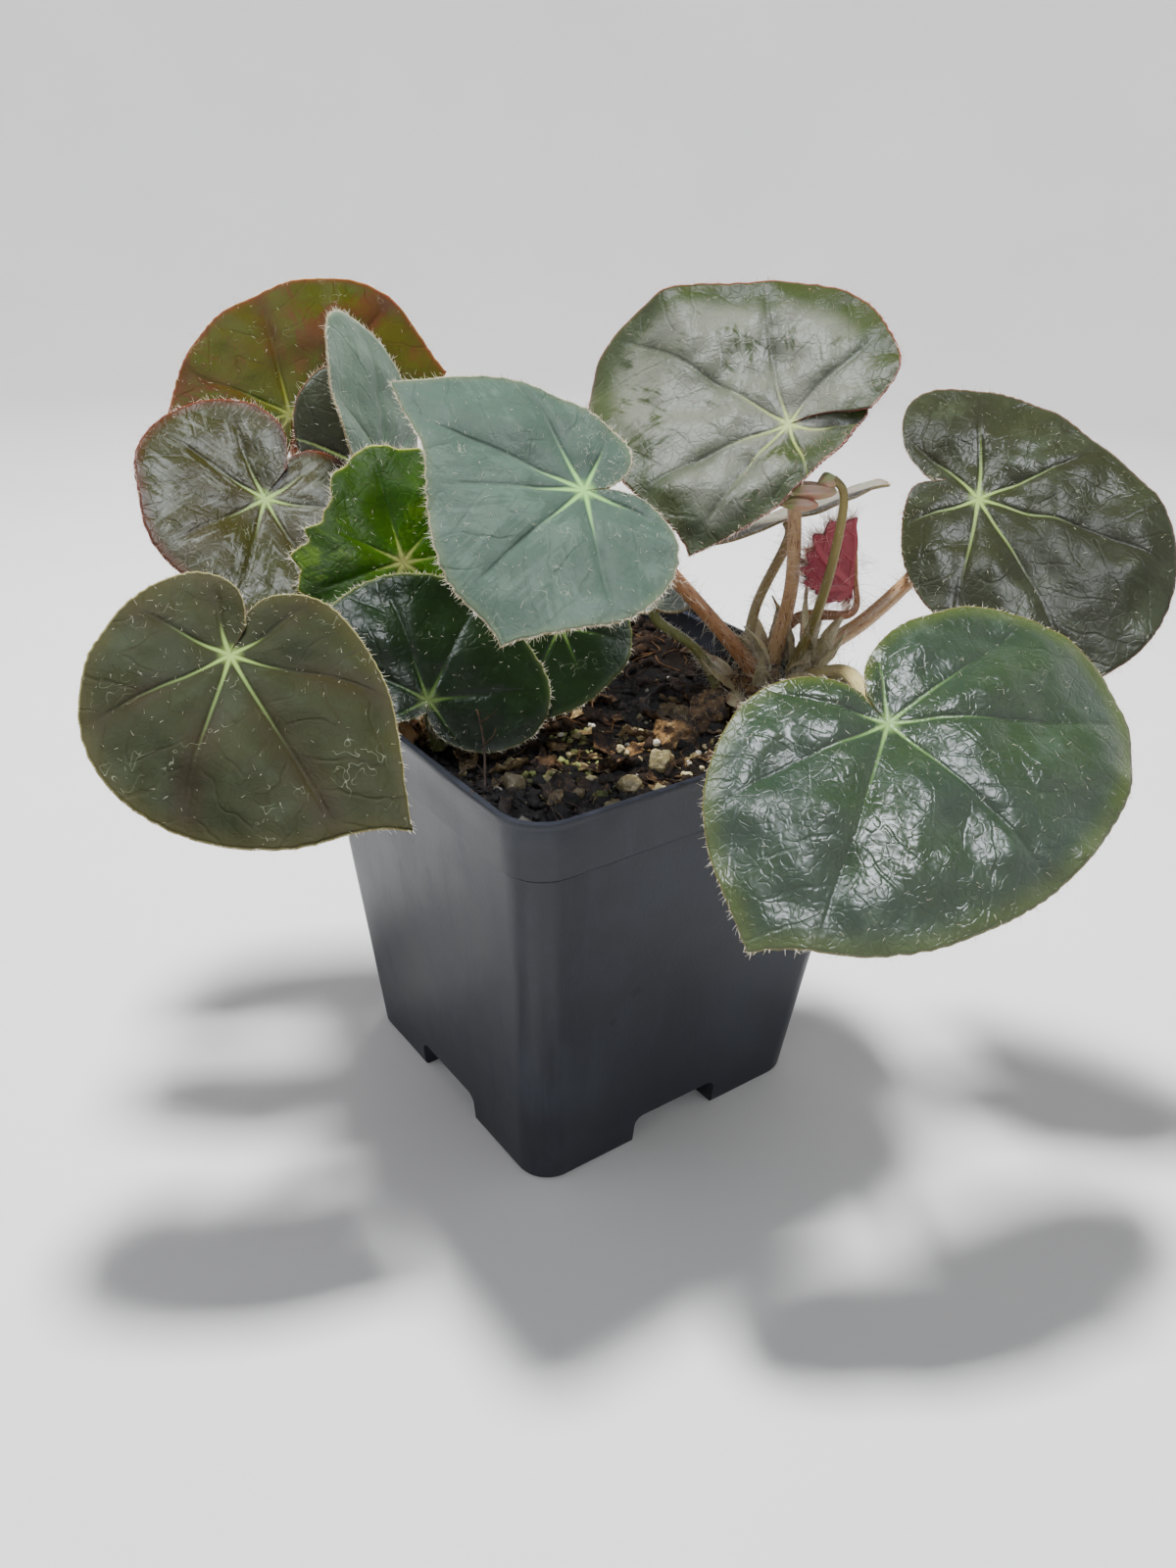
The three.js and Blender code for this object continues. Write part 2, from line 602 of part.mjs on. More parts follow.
function makeSoil() {
  const block = new THREE.BoxGeometry(potTopWidth, potTopWidth, soilLevel, soilCells, soilCells, 1);
  block.translate(0, 0, soilLevel / 2);
  const p = block.attributes.position;
  for (let i = 0; i < p.count; i++) {
    if (p.getZ(i) > soilLevel / 2) p.setZ(i, soilHeight(p.getX(i), p.getY(i)));
  }
  let soil = solidOf(block);
  const draw = seeded(11);
  for (let i = 0; i < pebbleCount; i++) {
    const size = 1.6 + 1.8 * draw();
    const x = -34 + 50 * draw();
    const y = -42 + 26 * draw();
    const pebble = new THREE.IcosahedronGeometry(size, 0).scale(1, 0.8, 0.7).rotateZ(6 * draw());
    soil = soil.add(solidOf(pebble.translate(x, y, soilHeight(x, y) + 0.2 * size)));
  }
  soil = soil.intersect(potInside(gap, potHeight));
  for (const room of rhizomeRoom) soil = soil.subtract(room);
  return largest(soil.subtract(stemRoom));
}

place("soil", geometryOf(makeSoil()), "soil");

// Origin: the middle of the footprint, on the surface the pot stands on
const middle = new THREE.Box3().setFromObject(plant, true).getCenter(new THREE.Vector3());
plant.position.set(-middle.x, -middle.y, 0);
const part = new THREE.Group();
part.add(plant);

export default part;
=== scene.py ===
"""Potted beefsteak begonia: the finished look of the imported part.

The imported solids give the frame, in metres. Everything here is worked out in millimetres with the
pot centred on the origin, as the plant was drawn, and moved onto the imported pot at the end.
"""
import logging
import math
from collections.abc import Iterable, Mapping, Sequence
from dataclasses import dataclass, field
from enum import Enum
from typing import Any

import bmesh
import bpy
import numpy as np
from mathutils import Matrix, Vector, noise
from mathutils.bvhtree import BVHTree


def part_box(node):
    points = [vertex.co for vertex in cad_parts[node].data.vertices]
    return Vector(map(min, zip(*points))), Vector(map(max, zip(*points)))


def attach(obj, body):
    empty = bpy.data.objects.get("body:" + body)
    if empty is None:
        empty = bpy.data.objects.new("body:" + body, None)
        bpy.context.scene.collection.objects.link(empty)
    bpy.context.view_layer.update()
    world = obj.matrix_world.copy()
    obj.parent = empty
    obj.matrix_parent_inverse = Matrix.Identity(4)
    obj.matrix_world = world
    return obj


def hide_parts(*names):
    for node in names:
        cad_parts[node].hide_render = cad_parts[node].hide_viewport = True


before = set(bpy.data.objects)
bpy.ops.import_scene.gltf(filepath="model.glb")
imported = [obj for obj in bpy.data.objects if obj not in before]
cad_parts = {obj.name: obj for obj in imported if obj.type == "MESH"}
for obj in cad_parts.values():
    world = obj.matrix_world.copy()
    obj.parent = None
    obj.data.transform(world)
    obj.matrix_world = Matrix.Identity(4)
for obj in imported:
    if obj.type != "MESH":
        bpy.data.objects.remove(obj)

Point = tuple[float, float, float]
Triple = Sequence[float]
log = logging.getLogger("begonia")

MM = 0.001
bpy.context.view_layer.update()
SEED = 20
SOFT = {"interpolation_type": "SMOOTHSTEP"}
TIMES = {"operation": "MULTIPLY"}
TIMES_ADD = {"operation": "MULTIPLY_ADD"}
OVER = {"operation": "DIVIDE"}


class Slot(str, Enum):
    """The record's material slots."""

    POT = "pot"
    SOIL = "soil"
    RHIZOME = "rhizome"
    PETIOLE = "petiole"
    GREEN_STALK = "green_stalk"
    BUD = "bud"
    DARK_LEAF = "dark_leaf"
    OLIVE_LEAF = "olive_leaf"
    GREY_LEAF = "grey_leaf"
    BROWN_LEAF = "brown_leaf"
    BRIGHT_LEAF = "bright_leaf"
    RED_LEAF = "red_leaf"


def linear(shade: str) -> tuple[float, float, float, float]:
    """Turns an sRGB hex value into a linear colour.

    Args:
        shade: Six hex digits after a hash.

    Returns:
        Red, green and blue, linear, and an alpha of 1.
    """
    parts = [int(shade[i : i + 2], 16) / 255 for i in (1, 3, 5)]
    curve = [p / 12.92 if p <= 0.04045 else ((p + 0.055) / 1.055) ** 2.4 for p in parts]
    return (curve[0], curve[1], curve[2], 1.0)


def feed(tree: bpy.types.NodeTree, node: bpy.types.Node, inputs: Sequence[Any] | Mapping[str, Any]) -> None:
    """Sets or links a node's sockets.

    Args:
        tree: The tree that holds the node.
        node: The node.
        inputs: Values, nodes (their first output) or sockets, in order or by socket name.
    """
    for key, value in inputs.items() if isinstance(inputs, Mapping) else enumerate(inputs):
        source = value.outputs[0] if isinstance(value, bpy.types.Node) else value
        if isinstance(source, bpy.types.NodeSocket):
            tree.links.new(source, node.inputs[key])
        else:
            node.inputs[key].default_value = source


def add(
    tree: bpy.types.NodeTree,
    kind: str,
    inputs: Sequence[Any] | Mapping[str, Any] = (),
    **settings: Any,
) -> bpy.types.Node:
    """Adds a shader node with its settings and links.

    Args:
        tree: The tree to add to.
        kind: The node's type without the ShaderNode prefix.
        inputs: What its sockets get, as feed takes it.
        settings: Properties of the node.

    Returns:
        The node.
    """
    node = tree.nodes.new("ShaderNode" + kind)
    for key, value in settings.items():
        setattr(node, key, value)
    feed(tree, node, inputs)
    return node


def blank_material(name: str) -> tuple[bpy.types.Material, bpy.types.NodeTree, bpy.types.Node]:
    """Starts a material.

    Args:
        name: The material's name.

    Returns:
        The material, its tree and its surface shader.
    """
    material = bpy.data.materials.new(name)
    material.use_nodes = True
    tree = material.node_tree
    return material, tree, tree.nodes["Principled BSDF"]


def smoothstep(x: np.ndarray | float, low: float, high: float) -> np.ndarray:
    """Rises smoothly from 0 at low to 1 at high."""
    t = np.clip((np.asarray(x, float) - low) / (high - low), 0, 1)
    return t * t * (3 - 2 * t)


def unit(v: np.ndarray) -> np.ndarray:
    """Scales vectors to length one."""
    return v / np.maximum(np.linalg.norm(v, axis=-1, keepdims=True), 1e-9)


def to_frame(p: np.ndarray | Vector) -> Vector:
    """Takes a point from the pot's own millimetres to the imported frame's metres."""
    low, high = POT_BOX
    return Vector(((low.x + high.x) / 2 + p[0] * MM, (low.y + high.y) / 2 + p[1] * MM, p[2] * MM))


POT_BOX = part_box("pot")


def register(piece: bpy.types.Object, slot: Slot, *nodes: str) -> bpy.types.Object:
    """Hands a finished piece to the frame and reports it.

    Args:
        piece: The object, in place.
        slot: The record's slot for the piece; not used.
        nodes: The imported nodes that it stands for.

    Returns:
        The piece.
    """
    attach(piece, "root")
    if nodes:
        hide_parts(*nodes)
    piece.data.calc_loop_triangles()
    log.info("%s: %d triangles", piece.name, len(piece.data.loop_triangles))
    return piece


def stand(name: str, mesh: bpy.types.Mesh, materials: Iterable[bpy.types.Material]) -> bpy.types.Object:
    """Makes a mesh an object of the scene, at the origin.

    Args:
        name: The object's name.
        mesh: Its mesh, in the frame's metres.
        materials: Its materials, in the order of the faces' indices.

    Returns:
        The object.
    """
    for material in materials:
        mesh.materials.append(material)
    piece = bpy.data.objects.new(name, mesh)
    bpy.context.scene.collection.objects.link(piece)
    return piece


def piece_from(bm: bmesh.types.BMesh, name: str, materials: Iterable[bpy.types.Material]) -> bpy.types.Object:
    """Turns a bmesh in the pot's millimetres into an object in the frame's metres.

    Args:
        bm: The shape, freed afterwards.
        name: The object's name.
        materials: Its materials, in the order of the faces' indices.

    Returns:
        The object, at the origin, smooth shaded.
    """
    move = Matrix.Translation(to_frame((0, 0, 0))) @ Matrix.Scale(MM, 4)
    bmesh.ops.transform(bm, matrix=move, verts=bm.verts)
    for face in bm.faces:
        face.smooth = True
    mesh = bpy.data.meshes.new(name)
    bm.to_mesh(mesh)
    bm.free()
    return stand(name, mesh, materials)


def even_way(points: Sequence[Triple], count: int) -> np.ndarray:
    """Places even points on the centripetal Catmull-Rom curve through some others.

    Args:
        points: The points that the curve passes.
        count: How many points to return.

    Returns:
        An array of count points.
    """
    p = np.array(points, float)
    p = np.vstack([2 * p[0] - p[1], p, 2 * p[-1] - p[-2]])
    dense = []
    for a, b, c, d in zip(p[:-3], p[1:-2], p[2:-1], p[3:]):
        ab, bc, cd = (max(np.linalg.norm(q - r), 1e-6) ** 0.5 for q, r in ((a, b), (b, c), (c, d)))
        start = ((b - a) / ab - (c - a) / (ab + bc) + (c - b) / bc) * bc
        end = ((c - b) / bc - (d - b) / (bc + cd) + (d - c) / cd) * bc
        t = np.linspace(0, 1, 40, endpoint=False)[:, None]
        cubic = 2 * b - 2 * c + start + end
        dense.append(b + start * t + (3 * c - 3 * b - 2 * start - end) * t**2 + cubic * t**3)
    way = np.vstack([*dense, p[-2][None]])
    gone = np.concatenate([[0], np.cumsum(np.linalg.norm(np.diff(way, axis=0), axis=1))])
    at = np.linspace(0, gone[-1], count)
    return np.stack([np.interp(at, gone, way[:, k]) for k in range(3)], axis=1)


def steady_frames(way: np.ndarray) -> tuple[np.ndarray, np.ndarray, np.ndarray]:
    """Carries a frame along a way without twist.

    Args:
        way: The points of the way.

    Returns:
        The tangents and two normals at each point.
    """
    tangents = unit(np.gradient(way, axis=0))
    side = np.cross(tangents[0], [0.3, 0.2, 1.0])
    sides = []
    for tangent in tangents:
        side = unit(side - tangent * np.dot(side, tangent))
        sides.append(side)
    first = np.array(sides)
    return tangents, first, np.cross(tangents, first)


def wrap_tube(
    bm: bmesh.types.BMesh,
    way: np.ndarray,
    radii: np.ndarray,
    sides: int,
    ripple: Any = None,
    material: int = 0,
) -> list[bmesh.types.BMVert]:
    """Wraps a grid round a way, with its length and girth in millimetres in the UV map.

    Args:
        bm: The bmesh that gets the tube.
        way: The points of its middle line.
        radii: Its radius at each point; a radius of nothing closes an end.
        sides: How many sides it has.
        ripple: Takes the angle and the share of the length and gives a factor on the radius.
        material: The faces' material index.

    Returns:
        The tube's vertices.
    """
    uv = bm.loops.layers.uv.verify()
    steps = len(way) - 1
    _, first, second = steady_frames(way)
    length = float(np.linalg.norm(np.diff(way, axis=0), axis=1).sum())
    girth = 2 * math.pi * float(np.max(radii))
    grid = bmesh.ops.create_grid(bm, x_segments=sides, y_segments=steps, size=0.5)["verts"]
    for face in {f for v in grid for f in v.link_faces}:
        face.material_index = material
        for loop in face.loops:
            loop[uv].uv = ((loop.vert.co.x + 0.5) * girth, (loop.vert.co.y + 0.5) * length)
    for vert in grid:
        turn = round((vert.co.x + 0.5) * sides) / sides * 2 * math.pi
        j = round((vert.co.y + 0.5) * steps)
        out = radii[j] * (ripple(turn, j / steps) if ripple else 1)
        vert.co = Vector(way[j] + first[j] * out * math.cos(turn) + second[j] * out * math.sin(turn))
    bmesh.ops.remove_doubles(bm, verts=grid, dist=1e-4)
    return [v for v in grid if v.is_valid]


@dataclass(frozen=True)
class LeafSkin:
    """Living begonia leaf, grown: soft waxy skin, puckered in fine cells between its veins.

    It gives the eye a broken gloss, patches that follow the veins, and a pale star where the stalk
    meets the blade. Lengths are in millimetres and amounts from 0 to 1.
    """

    name: str
    flesh: str
    flesh_dark: str
    patch: str
    shade: str
    vein: str
    star: str
    margin: str
    edge: str
    patch_share: float = 0.4
    patch_inset: float = 0.0
    streaks: float = 0.3
    shade_amount: float = 0.4
    shade_width: float = 5.0
    vein_reach: float = 22.0
    star_reach: float = 9.0
    margin_width: float = 3.0
    roughness: float = 0.36
    crinkle: float = 0.05
    mottle: float = 0.2
    marks: float = 0.25
    glow: float = 0.0
    gloss: float = 0.38

    def make(self) -> bpy.types.Material:
        """Makes the upper side's material."""
        material, t, surface = blank_material("begonia_leaf_" + self.name)
        place = add(t, "TexCoord").outputs["Object"]
        layout = add(t, "Attribute", attribute_name="blade", attribute_type="GEOMETRY").outputs["Vector"]
        own = add(t, "Attribute", attribute_name="veining", attribute_type="GEOMETRY").outputs["Fac"]
        along, off, edge = add(t, "SeparateXYZ", [layout]).outputs
        flat = add(t, "CombineXYZ", [along, off, 0.0])
        far = add(t, "VectorMath", [flat], operation="LENGTH").outputs["Value"]
        # main veins, 1.2 mm wide at the stalk and a third of that where they fade
        spent = add(t, "Math", [far, add(t, "Math", [own, self.vein_reach], **TIMES)],
                    **OVER)
        width = add(t, "MapRange", [spent, 0.0, 1.0, 0.62, 0.22])
        line = add(t, "MapRange", [add(t, "Math", [off, width], **OVER), 0.2, 1.0, 1.0, 0.0], **SOFT)
        shown = add(t, "MapRange", [spent, 0.2, 1.0, 0.8, 0.0], **SOFT)
        veins = add(t, "Math", [line, shown], **TIMES)
        inside = add(t, "MapRange", [edge, 1.0, 9.0, 0.0, 1.0], **SOFT)
        crease = add(t, "MapRange", [off, 0.1, 0.9, 1.0, 0.0], **SOFT)
        furrow = add(t, "Math", [crease, inside], **TIMES)
        # side veins leave them at about 50 degrees, 8 mm apart, faint and wandering
        wander = add(t, "TexNoise", {"Vector": place, "Scale": 90.0, "Detail": 2.0})
        slant = add(t, "Math", [off, -0.8, along], **TIMES_ADD)
        bent = add(t, "Math", [wander, 9.0, slant], **TIMES_ADD)
        beside = add(t, "Math", [bent, 4.0], operation="PINGPONG")
        thin = add(t, "MapRange", [beside, 0.05, 0.75, 1.0, 0.0], **SOFT)
        away = add(t, "MapRange", [off, 0.8, 3.0, 0.0, 1.0], **SOFT)
        outer = add(t, "MapRange", [far, 8.0, 18.0, 0.0, 1.0], **SOFT)
        side = add(t, "Math", [thin, add(t, "Math", [away, outer], **TIMES)], **TIMES)
        # cells of the smallest veins, 2.4 mm, and of the puckered skin, 1.1 mm
        bend = add(t, "TexNoise", {"Vector": place, "Scale": 300.0, "Detail": 1.0})
        push = add(t, "VectorMath", [bend.outputs["Color"], (0.0035, 0.0035, 0.0035), place],
                   **TIMES_ADD)
        net_cells = add(t, "TexVoronoi", {"Vector": push, "Scale": 420.0}, feature="DISTANCE_TO_EDGE")
        net = add(t, "MapRange", [net_cells, 0.0, 0.14, 1.0, 0.0], **SOFT)
        skin = add(t, "TexVoronoi", {"Vector": push, "Scale": 900.0, "Smoothness": 0.7}, feature="SMOOTH_F1")
        broad = add(t, "TexNoise", {"Vector": place, "Scale": 42.0, "Detail": 3.0, "Roughness": 0.55})
        hammered = add(t, "TexNoise", {"Vector": place, "Scale": 230.0, "Detail": 2.0})
        speck = add(t, "TexNoise", {"Vector": place, "Scale": 900.0, "Detail": 3.0, "Roughness": 0.7})
        drawn = add(t, "Mapping", {"Vector": flat, "Scale": (0.12, 0.75, 1.0)})
        streak = add(t, "TexNoise", {"Vector": drawn, "Scale": 1.0, "Detail": 4.0, "Roughness": 0.6})

        tone = add(t, "MapRange", [broad, 0.35, 0.65, 0.0, 1.0])
        colour = add(t, "MixRGB", [tone, linear(self.flesh), linear(self.flesh_dark)])
        # patches of a second colour that follow the veins; the grey patches of the silvery, bronze and
        # blue-grey skins are painted sheen
        patches = add(t, "TexNoise",
                      {"Vector": place, "Scale": 62.0, "Detail": 5.0, "Roughness": 0.62, "W": 3.0},
                      noise_dimensions="4D")
        lined = add(t, "Math", [add(t, "Math", [streak, 0.5], operation="SUBTRACT"), self.streaks, patches],
                    **TIMES_ADD)
        low = 0.7 - 0.4 * self.patch_share
        where = add(t, "MapRange", [lined, low, low + 0.13, 0.0, 0.9], **SOFT)
        if self.patch_inset:
            inset = add(t, "MapRange", [edge, 0.5 * self.patch_inset, 1.6 * self.patch_inset, 0.0, 1.0],
                        **SOFT)
            where = add(t, "Math", [where, inset], **TIMES)
        colour = add(t, "MixRGB", [where, colour, linear(self.patch)])
        grain = add(t, "MapRange", [speck, 0.42, 0.72, 0.0, self.mottle])
        colour = add(t, "MixRGB", [grain, colour, linear(self.margin)])
        # a darker colour along the veins, broken up
        stain = add(t, "MapRange", [off, 0.3, self.shade_width, 1.0, 0.0], **SOFT)
        out = add(t, "MapRange", [far, 5.0, 22.0, 0.0, self.shade_amount], **SOFT)
        broken = add(t, "MapRange", [patches, 0.35, 0.6, 0.35, 1.0], **SOFT)
        stained = add(t, "Math", [add(t, "Math", [stain, out], **TIMES), broken], **TIMES)
        colour = add(t, "MixRGB", [stained, colour, linear(self.shade)])
        lace = add(t, "Math", [side, 0.16, add(t, "Math", [net, 0.1], **TIMES)],
                   **TIMES_ADD)
        colour = add(t, "MixRGB", [lace, colour, linear(self.shade)])
        rim = add(t, "MapRange", [edge, 0.3, self.margin_width, 0.7, 0.0], **SOFT)
        colour = add(t, "MixRGB", [rim, colour, linear(self.margin)])
        # curled pale marks that old hairs leave, about 0.2 mm wide
        curl = add(t, "TexNoise", {"Vector": place, "Scale": 330.0, "Detail": 1.0})
        near = add(t, "Math", [curl, 0.5, 0.006], operation="COMPARE")
        some = add(t, "MapRange",
                   [add(t, "TexNoise", {"Vector": place, "Scale": 120.0}), 0.58, 0.66, 0.0, self.marks])
        colour = add(t, "MixRGB", [add(t, "Math", [near, some], **TIMES), colour, linear("#a2aa92")])
        colour = add(t, "MixRGB", [veins, colour, linear(self.vein)])
        ray_width = add(t, "MapRange", [far, 0.0, self.star_reach, 1.0, 0.15])
        ray = add(t, "MapRange", [add(t, "Math", [off, ray_width], **OVER), 0.1, 1.0, 1.0, 0.0], **SOFT)
        ray_end = add(t, "MapRange", [far, 1.0, self.star_reach, 0.75, 0.0], **SOFT)
        middle = add(t, "MapRange", [far, 0.4, 3.2, 0.7, 0.0], **SOFT)
        burst = add(t, "Math", [add(t, "Math", [ray, ray_end], **TIMES), middle], operation="MAXIMUM")
        colour = add(t, "MixRGB", [burst, colour, linear(self.star)])
        hem = add(t, "MapRange", [edge, 0.05, 0.55, 0.9, 0.0], **SOFT)
        colour = add(t, "MixRGB", [hem, colour, linear(self.edge)])
        feed(t, surface, {"Base Color": colour})

        shine = add(t, "MapRange", [broad, 0.3, 0.7, self.roughness - 0.06, self.roughness + 0.1])
        feed(t, surface, {"Roughness": shine})
        # heights in millimetres
        deep = add(t, "Math", [furrow, -0.14, add(t, "Math", [side, -0.07], **TIMES)],
                   **TIMES_ADD)
        laced = add(t, "Math", [net, -0.7 * self.crinkle, deep], **TIMES_ADD)
        cells = add(t, "Math", [skin, -self.crinkle, laced], **TIMES_ADD)
        waves = add(t, "Math", [hammered, 5 * self.crinkle, cells], **TIMES_ADD)
        bump = add(t, "Bump", {"Height": waves, "Distance": MM, "Strength": 1.0})
        feed(t, surface, {"Normal": bump, "Specular IOR Level": self.gloss})
        if self.glow:
            feed(t, surface, {"Subsurface Weight": self.glow, "Subsurface Radius": (0.6, 1.0, 0.25)})
            feed(t, surface, {"Subsurface Scale": 3 * MM})
        return material


@dataclass(frozen=True)
class LeafUnderside:
    """Underside of a begonia leaf, grown: matt, paler, its veins standing out and brownish."""

    name: str
    flesh: str
    vein: str
    roughness: float = 0.55

    def make(self) -> bpy.types.Material:
        """Makes the material."""
        material, t, surface = blank_material("begonia_underside_" + self.name)
        place = add(t, "TexCoord").outputs["Object"]
        layout = add(t, "Attribute", attribute_name="blade", attribute_type="GEOMETRY").outputs["Vector"]
        along, off, _ = add(t, "SeparateXYZ", [layout]).outputs
        line = add(t, "MapRange", [off, 0.3, 1.3, 1.0, 0.0], **SOFT)
        slant = add(t, "Math", [along, off], operation="SUBTRACT")
        beside = add(t, "Math", [slant, 3.0], operation="PINGPONG")
        thin = add(t, "MapRange", [beside, 0.1, 0.6, 0.7, 0.0], **SOFT)
        veins = add(t, "Math", [line, thin], operation="MAXIMUM")
        cells = add(t, "TexVoronoi", {"Vector": place, "Scale": 450.0}, feature="DISTANCE_TO_EDGE")
        net = add(t, "MapRange", [cells, 0.02, 0.15, 1.0, 0.0])
        tone = add(t, "TexNoise", {"Vector": place, "Scale": 90.0, "Detail": 4.0})
        colour = add(t, "MixRGB", [add(t, "Math", [veins, 0.7], **TIMES), linear(self.flesh),
                                   linear(self.vein)])
        mixed = add(t, "MapRange", [tone, 0.4, 0.7, 0.0, 0.35])
        colour = add(t, "MixRGB", [mixed, colour, linear(self.vein)])
        feed(t, surface, {"Base Color": colour})
        raised = add(t, "Math", [veins, 0.4], **TIMES)
        laced = add(t, "Math", [net, 0.08], **TIMES)
        height = add(t, "Math", [raised, laced], operation="ADD")
        bump = add(t, "Bump", {"Height": height, "Distance": MM})
        feed(t, surface, {"Normal": bump, "Roughness": self.roughness})
        return material


@dataclass(frozen=True)
class LeafRim:
    """Cut-thin margin of a leaf, grown: a pale or reddish line of matt skin."""

    name: str
    colour: str

    def make(self) -> bpy.types.Material:
        """Makes the material."""
        material, t, surface = blank_material("begonia_rim_" + self.name)
        place = add(t, "TexCoord").outputs["Object"]
        blotch = add(t, "TexNoise", {"Vector": place, "Scale": 250.0, "Detail": 2.0})
        dark = linear(self.colour)
        shade = tuple(0.55 * c for c in dark[:3]) + (1.0,)
        colour = add(t, "MixRGB", [blotch, dark, shade])
        feed(t, surface, {"Base Color": colour, "Roughness": 0.5})
        return material


@dataclass(frozen=True)
class StalkSkin:
    """Begonia leaf stalk, grown: soft translucent skin with short red dashes along it."""

    name: str
    low: str
    high: str
    dash: str
    dash_amount: float = 0.8

    def make(self) -> bpy.types.Material:
        """Makes the material."""
        material, t, surface = blank_material("begonia_stalk_" + self.name)
        place = add(t, "TexCoord")
        uv = place.outputs["UV"]
        # dashes about 1.6 mm long and 0.35 mm wide: the UV map is in millimetres
        drawn = add(t, "Mapping", {"Vector": uv, "Scale": (1.7, 0.42, 1.0)})
        streak = add(t, "TexNoise", {"Vector": drawn, "Scale": 1.0, "Detail": 2.0, "Roughness": 0.6})
        dash = add(t, "MapRange", [streak, 0.56, 0.66, 0.0, self.dash_amount], **SOFT)
        broad = add(t, "TexNoise", {"Vector": place.outputs["Object"], "Scale": 60.0, "Detail": 2.0})
        tone = add(t, "MapRange", [broad, 0.35, 0.65, 0.0, 1.0])
        colour = add(t, "MixRGB", [tone, linear(self.low), linear(self.high)])
        colour = add(t, "MixRGB", [dash, colour, linear(self.dash)])
        feed(t, surface, {"Base Color": colour})
        rib = add(t, "TexNoise", {"Vector": add(t, "Mapping", {"Vector": uv, "Scale": (1.6, 0.05, 1.0)}),
                                  "Scale": 1.0})
        bump = add(t, "Bump", {"Height": rib, "Distance": 0.25 * MM})
        feed(t, surface, {"Normal": bump, "Roughness": 0.42, "Subsurface Weight": 0.2})
        feed(t, surface, {"Subsurface Radius": (1.0, 0.6, 0.3)})
        feed(t, surface, {"Subsurface Scale": 1.5 * MM})
        return material


@dataclass(frozen=True)
class MottledSkin:
    """Anything dry or mineral in and on the soil, weathered: two or three tones in patches, and a rough skin.

    Scales are in patches a metre, so 400 gives patches of 2.5 mm. tone is mixed in by each bit's own
    share, fleck in small sharp flakes.
    """

    name: str
    light: str
    dark: str
    scale: float = 400.0
    roughness: float = 0.85
    relief: float = 0.3
    tone: str = ""
    fleck: str = ""

    def make(self) -> bpy.types.Material:
        """Makes the material."""
        material, t, surface = blank_material(self.name)
        place = add(t, "TexCoord").outputs["Object"]
        patch = add(t, "TexNoise", {"Vector": place, "Scale": self.scale, "Detail": 5.0, "Roughness": 0.65})
        mask = add(t, "MapRange", [patch, 0.4, 0.6, 0.0, 1.0], **SOFT)
        colour = add(t, "MixRGB", [mask, linear(self.light), linear(self.dark)])
        if self.tone:
            own = add(t, "Attribute", attribute_name="tone", attribute_type="GEOMETRY").outputs["Fac"]
            colour = add(t, "MixRGB", [own, colour, linear(self.tone)])
        if self.fleck:
            flake = add(t, "TexNoise",
                        {"Vector": place, "Scale": 2.3 * self.scale, "Detail": 4.0, "Roughness": 0.7})
            sharp = add(t, "MapRange", [flake, 0.57, 0.62, 0.0, 0.85])
            colour = add(t, "MixRGB", [sharp, colour, linear(self.fleck)])
        feed(t, surface, {"Base Color": colour})
        fine = add(t, "TexNoise", {"Vector": place, "Scale": self.scale * 4, "Detail": 3.0})
        bump = add(t, "Bump", {"Height": fine, "Distance": self.relief * MM})
        feed(t, surface, {"Normal": bump, "Roughness": self.roughness})
        return material


@dataclass(frozen=True)
class Hair:
    """Plant hair, grown: thin, nearly colourless, and bright where light comes through it."""

    name: str
    colour: str
    tip: str

    def make(self) -> bpy.types.Material:
        """Makes the material."""
        material, t, surface = blank_material("begonia_hair_" + self.name)
        place = add(t, "TexCoord").outputs["Object"]
        patch = add(t, "TexNoise", {"Vector": place, "Scale": 300.0, "Detail": 1.0})
        mask = add(t, "MapRange", [patch, 0.35, 0.65, 0.0, 1.0])
        colour = add(t, "MixRGB", [mask, linear(self.colour), linear(self.tip)])
        feed(t, surface, {"Base Color": colour, "Roughness": 0.4})
        return material


